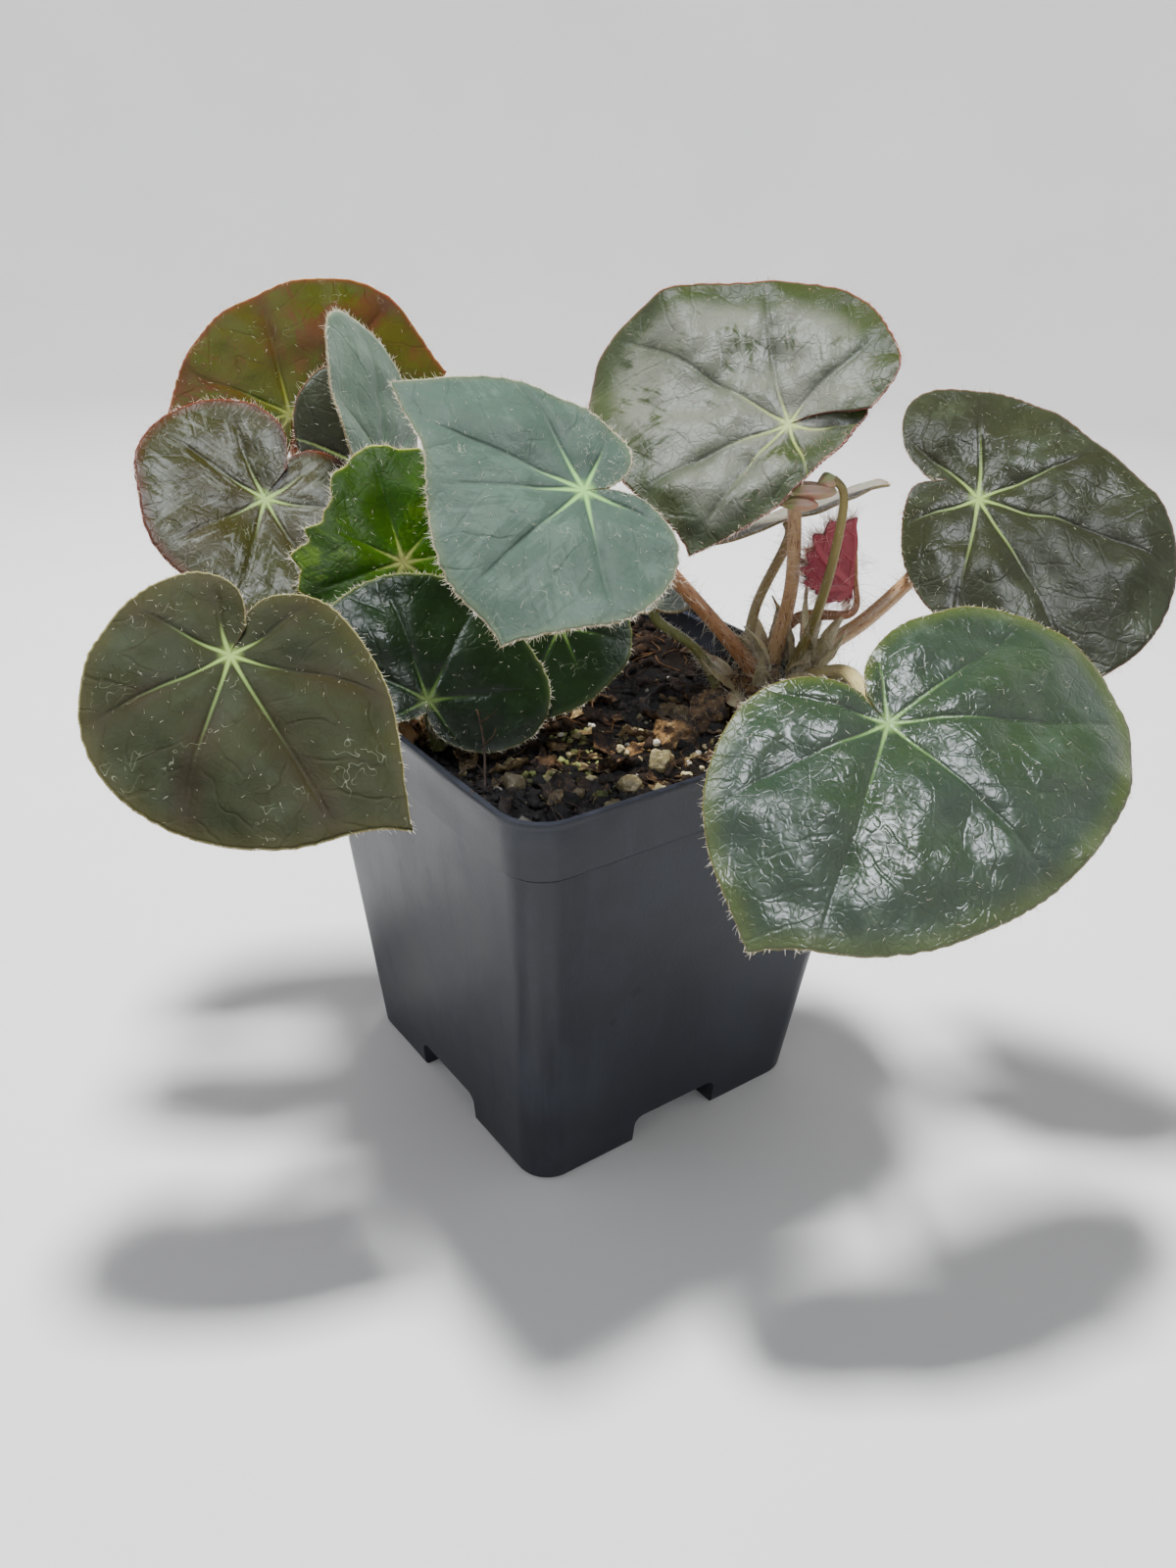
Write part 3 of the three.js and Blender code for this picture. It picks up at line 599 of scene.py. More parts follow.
@dataclass(frozen=True)
class PotPlastic:
    """Black polypropylene, injection moulded and handled: satin, with lime haze, drops and specks of soil."""

    name: str = "moulded_polypropylene"
    plastic: str = "#191b22"
    haze: str = "#333842"
    drop: str = "#101218"
    mud: str = "#2a2119"

    def make(self) -> bpy.types.Material:
        """Makes the material."""
        material, t, surface = blank_material(self.name)
        place = add(t, "TexCoord").outputs["Object"]
        cloud = add(t, "TexNoise", {"Vector": place, "Scale": 24.0, "Detail": 6.0, "Roughness": 0.65})
        # water marks run down the wall: 4 mm wide and several times as long
        drawn = add(t, "Mapping", {"Vector": place, "Scale": (240.0, 240.0, 45.0)})
        run = add(t, "TexNoise", {"Vector": drawn, "Scale": 1.0, "Detail": 4.0, "Roughness": 0.7})
        haze = add(t, "MapRange", [cloud, 0.42, 0.7, 0.0, 0.4], **SOFT)
        streak = add(t, "MapRange", [run, 0.5, 0.75, 0.0, 0.3], **SOFT)
        dust = add(t, "TexNoise", {"Vector": place, "Scale": 1800.0, "Detail": 2.0})
        dusty = add(t, "MapRange", [dust, 0.6, 0.72, 0.0, 0.25])
        dull = add(t, "Math", [add(t, "Math", [haze, streak], operation="ADD"), dusty], operation="ADD")
        colour = add(t, "MixRGB", [dull, linear(self.plastic), linear(self.haze)])
        # dried drops, 3 mm across, and specks of soil, a millimetre, one or two to a side
        rings = add(t, "TexVoronoi", {"Vector": place, "Scale": 38.0})
        drops = add(t, "MapRange", [rings, 0.05, 0.07, 0.6, 0.0], **SOFT)
        colour = add(t, "MixRGB", [drops, colour, linear(self.drop)])
        dots = add(t, "TexVoronoi", {"Vector": place, "Scale": 75.0})
        small = add(t, "MapRange", [dots, 0.03, 0.05, 1.0, 0.0], **SOFT)
        colour = add(t, "MixRGB", [small, colour, linear(self.mud)])
        feed(t, surface, {"Base Color": colour})
        rough = add(t, "MapRange", [dull, 0.0, 0.7, 0.4, 0.58])
        feed(t, surface, {"Roughness": rough})
        grain = add(t, "TexNoise", {"Vector": place, "Scale": 1500.0, "Detail": 2.0})
        uneven = add(t, "TexNoise", {"Vector": place, "Scale": 55.0, "Detail": 1.0})
        height = add(t, "Math", [uneven, 8.0, grain], **TIMES_ADD)
        bump = add(t, "Bump", {"Height": height, "Distance": 0.03 * MM})
        feed(t, surface, {"Normal": bump, "Specular IOR Level": 0.35})
        return material


@dataclass
class HairCoat:
    """Hairs gathered for one piece. Each is a three-sided spine that bends towards its tip."""

    roots: list[np.ndarray] = field(default_factory=list)
    aims: list[np.ndarray] = field(default_factory=list)
    lengths: list[np.ndarray] = field(default_factory=list)
    thickness: list[np.ndarray] = field(default_factory=list)

    def grow(self, roots: np.ndarray, aims: np.ndarray, lengths: np.ndarray, thickness: float) -> None:
        """Adds hairs.

        Args:
            roots: Where each stands.
            aims: Which way each points.
            lengths: How long each is.
            thickness: Their radius at the root.
        """
        self.roots.append(roots)
        self.aims.append(unit(aims))
        self.lengths.append(lengths)
        self.thickness.append(np.full(len(roots), thickness))

    @staticmethod
    def spine() -> tuple[np.ndarray, np.ndarray]:
        """Makes one straight hair of unit length and radius, in two joints."""
        bm = bmesh.new()
        bmesh.ops.create_cone(bm, cap_ends=True, segments=3, radius1=1, radius2=0.25, depth=1)
        bmesh.ops.translate(bm, verts=bm.verts, vec=(0, 0, 0.5))
        geometry = [*bm.verts, *bm.edges, *bm.faces]
        bmesh.ops.bisect_plane(bm, geom=geometry, plane_co=(0, 0, 0.5), plane_no=(0, 0, 1))
        bmesh.ops.triangulate(bm, faces=bm.faces)
        points = np.array([v.co for v in bm.verts])
        faces = np.array([[v.index for v in f.verts] for f in bm.faces])
        bm.free()
        return points, faces

    def build(
        self, name: str, material: bpy.types.Material, seed: int, curl: float = 0.35
    ) -> bpy.types.Object:
        """Makes the hairs one object.

        Args:
            name: The object's name.
            material: Its finish.
            seed: Starts the random bends.
            curl: How far a tip bends aside, as a share of the length.

        Returns:
            The object.
        """
        draw = np.random.default_rng(seed)
        points, faces = self.spine()
        roots = np.concatenate(self.roots)
        aims = np.concatenate(self.aims)
        lengths = np.concatenate(self.lengths)[:, None]
        thick = np.concatenate(self.thickness)[:, None]
        first = unit(np.cross(aims, draw.normal(size=roots.shape)))
        second = np.cross(aims, first)
        bend = unit(draw.normal(size=roots.shape)) * curl * draw.uniform(0.3, 1.0, (len(roots), 1))
        shape = np.empty((len(roots), len(points), 3))
        for k, (x, y, z) in enumerate(points):
            aside = (first * x + second * y) * thick
            shape[:, k] = roots + aims * lengths * z + aside + bend * lengths * z * z
        low, high = POT_BOX
        middle = np.array([(low.x + high.x) / 2, (low.y + high.y) / 2, 0])
        everything = shape.reshape(-1, 3) * MM + middle
        order = (faces[None] + np.arange(len(roots))[:, None, None] * len(points)).reshape(-1, 3)
        mesh = bpy.data.meshes.new(name)
        mesh.from_pydata(everything.tolist(), [], order.tolist())
        return stand(name, mesh, [material])


@dataclass
class Leaf:
    """One leaf: its blade, its stalk and their hairs.

    The blade is drawn in its own frame: the stalk meets it at the origin, +Z is its upper side and +Y
    points away from the sinus, the notch between the basal lobes. reach is the distance from the stalk
    to the margin every 20 degrees, anticlockwise from the sinus. at, lean, faces and head place it.
    veins are the directions of the main veins, in degrees from the sinus, and vein_shares how much of
    their finish's reach each one's pale part has. Lengths are in millimetres.
    """

    name: str
    at: Point
    lean: float
    faces: float
    head: float
    slot: Slot
    skin: LeafSkin
    reach: Sequence[float]
    stalk_from: Point
    stalk_by: Sequence[Point]
    stalk_radius: float
    stalk_skin: StalkSkin
    dome: float = 2.0
    dip: float = 1.0
    wave: float = 0.0
    waves: float = 4.0
    phase: float = 0.0
    lift: float = 0.0
    overlap: float = 0.0
    roll: tuple[float, float] = (0.0, 0.0)
    closed: float = 0.0
    tips: Sequence[tuple[float, float]] = ()
    teeth: tuple[int, float] = (0, 0.0)
    veins: Sequence[float] = (40, 85, 130, 180, 230, 275, 320)
    vein_shares: Sequence[float] = ()
    turns: int = 216
    rings: int = 40
    swell: float = 0.8
    denticles: float = 0.35
    fringe: float = 1.8
    fringe_every: float = 0.55
    bristles: int = 160
    down: float = 3.0
    rim: str = "#9a8a62"
    red_hair: bool = False
    skin_points: np.ndarray = field(default_factory=lambda: np.zeros((1, 1, 3)))

    SPREAD = 40.0
    DIP_RADIUS = 12.0
    SINUS_AT_STALK = 3.0
    SINUS_AT_MARGIN = 2.0
    POINT_SHARPNESS = 7.0
    LIFT_REACH = 70.0
    THICKNESS = 0.55

    def columns(self) -> np.ndarray:
        """Spreads the grid's columns round the blade, the nearest ones moved onto veins and points."""
        steps = np.linspace(0, 1, self.turns + 1)
        for turn in [v - 5 for v in self.veins]:
            steps[round(turn / 350 * self.turns)] = turn / 350
        for turn, _ in self.tips:
            steps[round(turn / 360 * self.turns)] = turn / 360
        return np.sort(steps)

    def reach_at(self, u: np.ndarray) -> np.ndarray:
        """Gives the distance from the stalk to the margin.

        Args:
            u: The share of the way round, from one side of the sinus to the other.

        Returns:
            The distances.
        """
        k = u * (len(self.reach) - 1)
        i = np.minimum(k.astype(int), len(self.reach) - 2)
        t = k - i
        table = np.array(self.reach, float)
        last = len(table) - 1
        a, b, c, d = (table[np.clip(i + j, 0, last)] for j in (-1, 0, 1, 2))
        even = b + 0.5 * t * (c - a + t * (2 * a - 5 * b + 4 * c - d + t * (3 * (b - c) + d - a)))
        turn = u * 360
        for at, length in self.tips:
            even = even + length * np.exp(-np.abs(turn - at) / self.POINT_SHARPNESS)
        count, depth = self.teeth
        uneven = 0.55 + 0.45 * np.sin(0.09 * turn + 1) * np.sin(0.047 * turn)
        even = even + depth * uneven * np.abs((turn * count / 360 + 0.3 * np.sin(turn / 19)) % 1 - 0.5) * 2
        fine = round(2 * math.pi * float(np.mean(table)) / 2.7)
        notch = np.abs((u * fine + 0.7 * np.sin(9 * u) + 0.3 * np.sin(41 * u)) % 1 - 0.5) * 2
        return even + self.denticles * notch * (0.6 + 0.4 * np.sin(67 * u))

    def surface(self, u: np.ndarray, s: np.ndarray) -> np.ndarray:
        """Gives points of the upper side in the blade's own frame, without its veins.

        Args:
            u: The share of the way round.
            s: The share of the way out.

        Returns:
            The points, in an array with one more axis.
        """
        at_margin = -self.overlap if self.overlap else self.SINUS_AT_MARGIN
        sinus = self.SINUS_AT_STALK + (at_margin - self.SINUS_AT_STALK) * smoothstep(s, 0.05, 0.7)
        # veins that bow a little on their way out
        bow = 3.2 * np.sin(self.at[0] + 13 * u) * 4 * s * (1 - s) * np.minimum(1, 8 * np.minimum(u, 1 - u))
        turn = sinus + u * (360 - 2 * sinus) + bow
        a = np.radians(turn)
        r = s * self.reach_at(u)
        far = r / self.SPREAD
        x = r * np.sin(a)
        y = -r * np.cos(a)
        z = self.dip * (1 - np.exp(-((r / self.DIP_RADIUS) ** 2))) - self.dome * far**2
        z = z + self.wave * far**3 * np.sin(self.waves * a + math.radians(self.phase))
        from_sinus = 360 * np.minimum(u, 1 - u)
        side = np.where(u < 0.5, 1, -1)
        z = z + side * self.lift * (1 - smoothstep(from_sinus, 0, self.LIFT_REACH)) * np.minimum(far, 1)
        roll_turn, roll_depth = self.roll
        off = np.abs((turn - roll_turn + 180) % 360 - 180)
        across = np.cos(np.radians(np.minimum(off * 1.5, 90)))
        z = z - 3 * roll_depth * across * np.maximum(far - 0.45, 0) ** 2
        if self.closed:
            fold = math.radians(self.closed)
            z = z + np.abs(x) * math.sin(fold)
            x = x * math.cos(fold)
        return np.stack([x, y, z], axis=-1)

    def layout(self, u: np.ndarray, s: np.ndarray) -> np.ndarray:
        """Gives each point's place by its nearest main vein and from the margin.

        Args:
            u: The share of the way round.
            s: The share of the way out.

        Returns:
            The distances along and off the vein and from the margin, and the vein's share, in an array
            with one more axis.
        """
        r = s * self.reach_at(u)
        turn = 5 + u * 350
        apart = np.abs(turn[..., None] - np.array(self.veins, float))
        nearest = np.argmin(apart, axis=-1)
        swing = np.radians(np.minimum(np.min(apart, axis=-1), 60))
        shares = np.array(self.vein_shares or [1.0] * len(self.veins), float)[nearest]
        edge = (1 - s) * self.reach_at(u)
        return np.stack([r * np.cos(swing), r * np.sin(swing), edge, shares], axis=-1)

    def relief(self, lay: np.ndarray) -> np.ndarray:
        """Gives the height of the sunken veins and the soft cushions between them.

        Args:
            lay: The distances from layout.

        Returns:
            Heights above the plain surface.
        """
        along, off, edge = lay[..., 0], lay[..., 1], lay[..., 2]
        size = min(1.0, max(self.reach) / 40)
        fade = smoothstep(np.hypot(along, off), 1.5, 8) * smoothstep(edge, 0.5, 12)
        return size * fade * (0.6 * (1 - np.exp(-((off / 4.5) ** 2))) - 0.35 * np.exp(-((off / 1.1) ** 2)))

    def stance(self) -> Matrix:
        """Gives the matrix from the blade's own frame to the pot's."""
        lean, faces, head = (math.radians(a) for a in (self.lean, self.faces, self.head))
        compass = Vector((math.cos(faces), math.sin(faces), 0))
        up = compass * math.sin(lean) + Vector((0, 0, math.cos(lean)))
        downhill = compass * math.cos(lean) - Vector((0, 0, math.sin(lean)))
        away = Matrix.Rotation(head, 3, up) @ downhill
        across = away.cross(up)
        turn = Matrix((across, away, up)).transposed().to_4x4()
        return Matrix.Translation(self.at) @ turn

    def blade(self, finishes: "Finishes") -> bpy.types.Object:
        """Builds the blade: a grid fanned round the stalk, then given its thickness.

        Args:
            finishes: The shared materials.

        Returns:
            The blade.
        """
        u, s = np.meshgrid(self.columns(), np.linspace(0, 1, self.rings + 1), indexing="ij")
        lay = self.layout(u, s)
        points = self.surface(u, s)
        points[..., 2] += self.relief(lay)
        bm = bmesh.new()
        layer = bm.verts.layers.float_vector.new("blade")
        share = bm.verts.layers.float.new("veining")
        bmesh.ops.create_grid(bm, x_segments=self.turns, y_segments=self.rings, size=0.5)
        seed = Vector((self.at[0], self.at[1], 0))
        size = min(1.0, max(self.reach) / 35)
        for vert in bm.verts:
            i = round((vert.co.x + 0.5) * self.turns)
            j = round((vert.co.y + 0.5) * self.rings)
            here = Vector(points[i, j])
            spot = Vector((here.x, here.y, 0)) + seed
            uneven = noise.noise(spot / 13) * self.swell * 1.5 + noise.noise(spot / 5.5) * self.swell * 0.4
            here.z += size * uneven * float(smoothstep(np.hypot(here.x, here.y), 2, 12))
            points[i, j, 2] = here.z
            vert.co = here
            vert[layer] = Vector(lay[i, j, :3])
            vert[share] = lay[i, j, 3]
        bmesh.ops.reverse_faces(bm, faces=bm.faces)
        bmesh.ops.remove_doubles(bm, verts=bm.verts, dist=1e-4)
        bmesh.ops.transform(bm, matrix=self.stance(), verts=bm.verts)
        stance = np.array(self.stance())
        self.skin_points = points @ stance[:3, :3].T + stance[:3, 3]
        materials = [finishes.of(self.skin), finishes.underside(self.slot),
                     finishes.of(LeafRim(self.name, self.rim))]
        piece = piece_from(bm, self.name, materials)
        shell = piece.modifiers.new("thickness", "SOLIDIFY")
        shell.thickness = self.THICKNESS * MM
        shell.offset = -1
        shell.material_offset = 1
        shell.material_offset_rim = 2
        return register(piece, self.slot, "leaf_" + self.name)

    def stalk_way(self) -> list[Triple]:
        """Lists the points that the stalk passes, to just under the blade."""
        stance = self.stance()
        end = [Vector((0, 0, -3.5)), Vector((0, 0, -0.35))]
        if self.closed:
            end = [Vector((0, -6, -0.4)), Vector((0, 2, -0.7)), Vector((0, 11, -0.5))]
        return [self.stalk_from, *self.stalk_by, *[tuple(stance @ p) for p in end]]

    def stalk(self, finishes: "Finishes") -> bpy.types.Object:
        """Builds the stalk, a little thicker at its foot.

        Args:
            finishes: The shared materials.

        Returns:
            The stalk.
        """
        way = even_way(self.stalk_way(), 64)
        t = np.linspace(0, 1, len(way))
        radii = self.stalk_radius * (1.0 + 0.2 * np.exp(-t * 9) - 0.12 * np.sin(math.pi * t))
        if self.closed:
            radii *= 1 - 0.8 * smoothstep(t, 0.35, 1)
        radii[0] = radii[-1] = 0
        bm = bmesh.new()
        wrap_tube(bm, way, radii, 18, lambda turn, far: 1 + 0.035 * math.sin(5 * turn + 3 * far))
        bmesh.ops.recalc_face_normals(bm, faces=bm.faces)
        piece = piece_from(bm, self.name + "_stalk", [finishes.of(self.stalk_skin)])
        slot = Slot.GREEN_STALK if self.name in ("small", "low_front") else Slot.PETIOLE
        return register(piece, slot, "petiole_" + self.name)

    def fringe_hairs(self, coat: HairCoat, draw: np.random.Generator) -> None:
        """Adds the hairs of the margin, each pointing out and a little aside."""
        rim = self.skin_points[:, -1]
        gone = np.concatenate([[0], np.cumsum(np.linalg.norm(np.diff(rim, axis=0), axis=1))])
        count = int(gone[-1] / self.fringe_every)
        at = np.sort(draw.uniform(0, gone[-1], count))
        root = np.stack([np.interp(at, gone, rim[:, k]) for k in range(3)], axis=1)
        inner = self.skin_points[:, -4]
        out = unit(root - np.stack([np.interp(at, gone, inner[:, k]) for k in range(3)], axis=1))
        aims = out + 0.6 * draw.normal(size=root.shape)
        coat.grow(root - 0.15 * out, aims, self.fringe * draw.uniform(0.3, 1.3, count), 0.05)

    def blade_hairs(self, coat: HairCoat, draw: np.random.Generator) -> None:
        """Adds short bristles scattered over the upper side."""
        turns, rings = self.skin_points.shape[0] - 1, self.skin_points.shape[1] - 1
        i = draw.integers(1, turns - 1, self.bristles)
        j = (np.sqrt(draw.uniform(0.02, 0.99, self.bristles)) * (rings - 1)).astype(int) + 1
        root = self.skin_points[i, j]
        normal = unit(np.cross(self.skin_points[i + 1, j] - self.skin_points[i - 1, j],
                               self.skin_points[i, j - 1] - root))
        up = np.array(self.stance())[:3, 2]
        normal *= np.sign(normal @ up)[:, None]
        aims = normal + 0.9 * draw.normal(size=root.shape)
        aims += np.maximum(0.2 - (aims * normal).sum(axis=1, keepdims=True), 0) * normal
        coat.grow(root, aims, draw.uniform(0.5, 1.3, self.bristles), 0.035)

    def stalk_hairs(self, coat: HairCoat, draw: np.random.Generator) -> None:
        """Adds the long soft hairs of the stalk."""
        way = even_way(self.stalk_way(), 200)
        tangents, first, second = steady_frames(way)
        length = np.linalg.norm(np.diff(way, axis=0), axis=1).sum()
        many = int(length * 5)
        k = draw.integers(4, 196, many)
        angle = draw.uniform(0, 2 * np.pi, many)[:, None]
        radial = first[k] * np.cos(angle) + second[k] * np.sin(angle)
        aims = radial - 0.25 * tangents[k] + 0.4 * draw.normal(size=radial.shape)
        coat.grow(way[k] + radial * self.stalk_radius * 0.85, aims,
                  self.down * draw.uniform(0.35, 1.25, many), 0.05)

    def hairs(self, finishes: "Finishes") -> bpy.types.Object:
        """Builds all hairs of the leaf with the shared materials."""
        seed = SEED + sum(ord(c) for c in self.name)
        draw = np.random.default_rng(seed)
        coat = HairCoat()
        self.fringe_hairs(coat, draw)
        self.blade_hairs(coat, draw)
        self.stalk_hairs(coat, draw)
        piece = coat.build(self.name + "_hairs", finishes.red_hair if self.red_hair else finishes.hair, seed)
        return register(piece, self.slot)

    def build(self, finishes: "Finishes") -> None:
        """Builds the whole leaf with the shared materials."""
        self.blade(finishes)
        self.stalk(finishes)
        self.hairs(finishes)


class Finishes:
    """The materials that pieces share, each made once."""

    UNDERSIDES = {
        Slot.DARK_LEAF: LeafUnderside("dark", "#4a5a34", "#6b4a34"),
        Slot.OLIVE_LEAF: LeafUnderside("olive", "#64543a", "#7a4034"),
        Slot.GREY_LEAF: LeafUnderside("grey", "#99948a", "#7e5c4c"),
        Slot.BROWN_LEAF: LeafUnderside("brown", "#6c3a2e", "#7c2c28"),
        Slot.BRIGHT_LEAF: LeafUnderside("bright", "#7d9636", "#9a6a3a"),
        Slot.RED_LEAF: LeafUnderside("red", "#8c2436", "#b04a55"),
    }

    def __init__(self) -> None:
        """Starts with no material but the hairs'."""
        self.made: dict[str, bpy.types.Material] = {}
        self.hair = Hair("white", "#efeadb", "#cfc3a6").make()
        self.red_hair = Hair("reddish", "#d8a696", "#efdccb").make()

    def of(self, finish: Any) -> bpy.types.Material:
        """Gives a finish's material, made the first time it is asked for."""
        key = type(finish).__name__ + finish.name
        if key not in self.made:
            self.made[key] = finish.make()
        return self.made[key]

    def underside(self, slot: Slot) -> bpy.types.Material:
        """Gives the underside's material for a leaf's slot."""
        return self.of(self.UNDERSIDES[slot])


TAN_STALK = StalkSkin("tan", "#b28c60", "#c6a57c", "#6e2a1a")
RED_STALK = StalkSkin("reddish", "#986a4a", "#ae805a", "#5c2216")
OLIVE_STALK = StalkSkin("olive", "#96875e", "#a4966a", "#6e3826", 0.6)
GREEN_STALK = StalkSkin("green", "#7c8450", "#8c8f5c", "#7a4a30", 0.35)
CREAM_STALK = StalkSkin("cream", "#a89c66", "#b8ab78", "#8a4a30", 0.4)

OLIVE = LeafSkin("olive", "#31341d", "#2a2f1d", "#333a29", "#2c2016", "#6f874a", "#96b55f", "#3b391f",
                 "#8f8a5c", patch_share=0.5, streaks=0.2, shade_amount=0.6, shade_width=5.5,
                 vein_reach=27.0, star_reach=9.0, margin_width=5.0, roughness=0.5, crinkle=0.03, mottle=0.1,
                 marks=0.4, gloss=0.12)
GLOSSY = LeafSkin("glossy_green", "#31412c", "#29392d", "#3c4d3d", "#253423", "#67894f", "#8cb467",
                  "#495625", "#6d6636", patch_share=0.4, shade_amount=0.35, shade_width=4.0,
                  vein_reach=30.0, star_reach=8.0, margin_width=6.0, roughness=0.27, crinkle=0.055,
                  mottle=0.12, marks=0.2, gloss=0.6)
# Blue-grey flesh and patches: partly the leaf's green, partly painted sheen, the pale veil of light that its
# hairy skin mirrors.
BLUE_GREY_PAINTED_SHEEN = LeafSkin("blue_grey_painted_sheen", "#475a4f", "#405449", "#53675c", "#35463b", "#759c6c", "#9ad872",
                     "#56654c", "#a39c80", patch_share=0.5, streaks=0.6, shade_amount=0.3, shade_width=3.0,
                     vein_reach=19.0, star_reach=12.0, margin_width=2.5, roughness=0.47, crinkle=0.03,
                     mottle=0.22, marks=0.35, gloss=0.25)
# Silver-grey patches over most of the blade inside its margin: painted sheen, light mirrored in the waxy
# skin.
SILVERY_PAINTED_SHEEN = LeafSkin("silvery_painted_sheen", "#384223", "#2f3a1f", "#707367", "#29351c", "#93a157", "#acbf72", "#343a1a",
                   "#7a4034", patch_share=0.9, patch_inset=7.0, streaks=0.55, shade_amount=0.65,
                   shade_width=3.6, vein_reach=21.0, star_reach=6.0, margin_width=4.0, roughness=0.37,
                   crinkle=0.045, mottle=0.15, gloss=0.42)
DUSKY = LeafSkin("dusky", "#303421", "#292c1d", "#383f2d", "#26231d", "#859d55", "#9aba62", "#333927",
                 "#694639", patch_share=0.45, streaks=0.5, shade_amount=0.35, shade_width=4.0,
                 vein_reach=27.0, star_reach=8.0, margin_width=2.5, roughness=0.33, crinkle=0.045,
                 mottle=0.28, gloss=0.28)
# Grey patches streaked along the veins: painted sheen, light mirrored in the frosted skin.
BRONZE_PAINTED_SHEEN = LeafSkin("bronze_painted_sheen", "#2e340f", "#2f2c0f", "#5c6055", "#262013", "#75884e", "#9cbe68", "#482514",
                  "#692f24", patch_share=0.55, patch_inset=3.0, streaks=1.1, shade_amount=0.2,
                  shade_width=5.0, vein_reach=13.0, star_reach=8.0, margin_width=3.0, roughness=0.36,
                  crinkle=0.05, mottle=0.14, gloss=0.35)
BACKLIT = LeafSkin("backlit_olive", "#373509", "#372f0b", "#452414", "#3a1c11", "#645f22", "#747a3e",
                   "#4f2619", "#834031", patch_share=0.5, streaks=0.4, shade_amount=0.75, shade_width=3.5,
                   vein_reach=16.0, star_reach=6.0, margin_width=2.5, roughness=0.5, crinkle=0.03,
                   mottle=0.1, glow=0.3, gloss=0.1)
BRIGHT = LeafSkin("bright_green", "#2e4904", "#1e3503", "#405a07", "#1c3005", "#5e7424", "#8a8953",
                  "#394b0c", "#8f8a50", patch_share=0.4, streaks=0.5, shade_amount=0.5, shade_width=3.0,
                  vein_reach=12.0, star_reach=8.0, margin_width=1.5, roughness=0.4, crinkle=0.05,
                  mottle=0.12, glow=0.3, gloss=0.15)
DEEP = LeafSkin("deep_green", "#14250f", "#101e0d", "#1b2f17", "#101b0b", "#405d29", "#687e40", "#2b391c",
                "#696e44", patch_share=0.3, shade_amount=0.3, shade_width=4.0, vein_reach=12.0,
                star_reach=6.0, margin_width=1.8, roughness=0.33, crinkle=0.05, mottle=0.1, marks=0.2,
                gloss=0.3)
PALE_BLUE = LeafSkin("pale_blue", "#4c6050", "#425547", "#5e7062", "#3c4c3e", "#5c7a54", "#7c9868", "#5a6a54",
                     "#8f917c", patch_share=0.5, vein_reach=14.0, star_reach=5.0, margin_width=1.5,
                     roughness=0.34, crinkle=0.05, mottle=0.22)
PALE_GREY = LeafSkin("pale_grey", "#7c7b6e", "#686a5c", "#918e82", "#6d5a4c", "#8a7a64", "#948c70", "#6a5a4a",
                     "#6f5c48", patch_share=0.5, vein_reach=14.0, star_reach=5.0, margin_width=1.5,
                     roughness=0.5, crinkle=0.03, mottle=0.3, marks=0.1, gloss=0.2)
CRIMSON = LeafSkin("crimson", "#6a0c1a", "#4c0810", "#7c1428", "#38060f", "#8a2a3c", "#8a2a3c", "#5a0c1c",
                   "#943448", patch_share=0.5, shade_amount=0.4, shade_width=1.5, vein_reach=8.0,
                   star_reach=3.0, margin_width=1.0, roughness=0.42, crinkle=0.08, mottle=0.1, marks=0.0,
                   gloss=0.2)

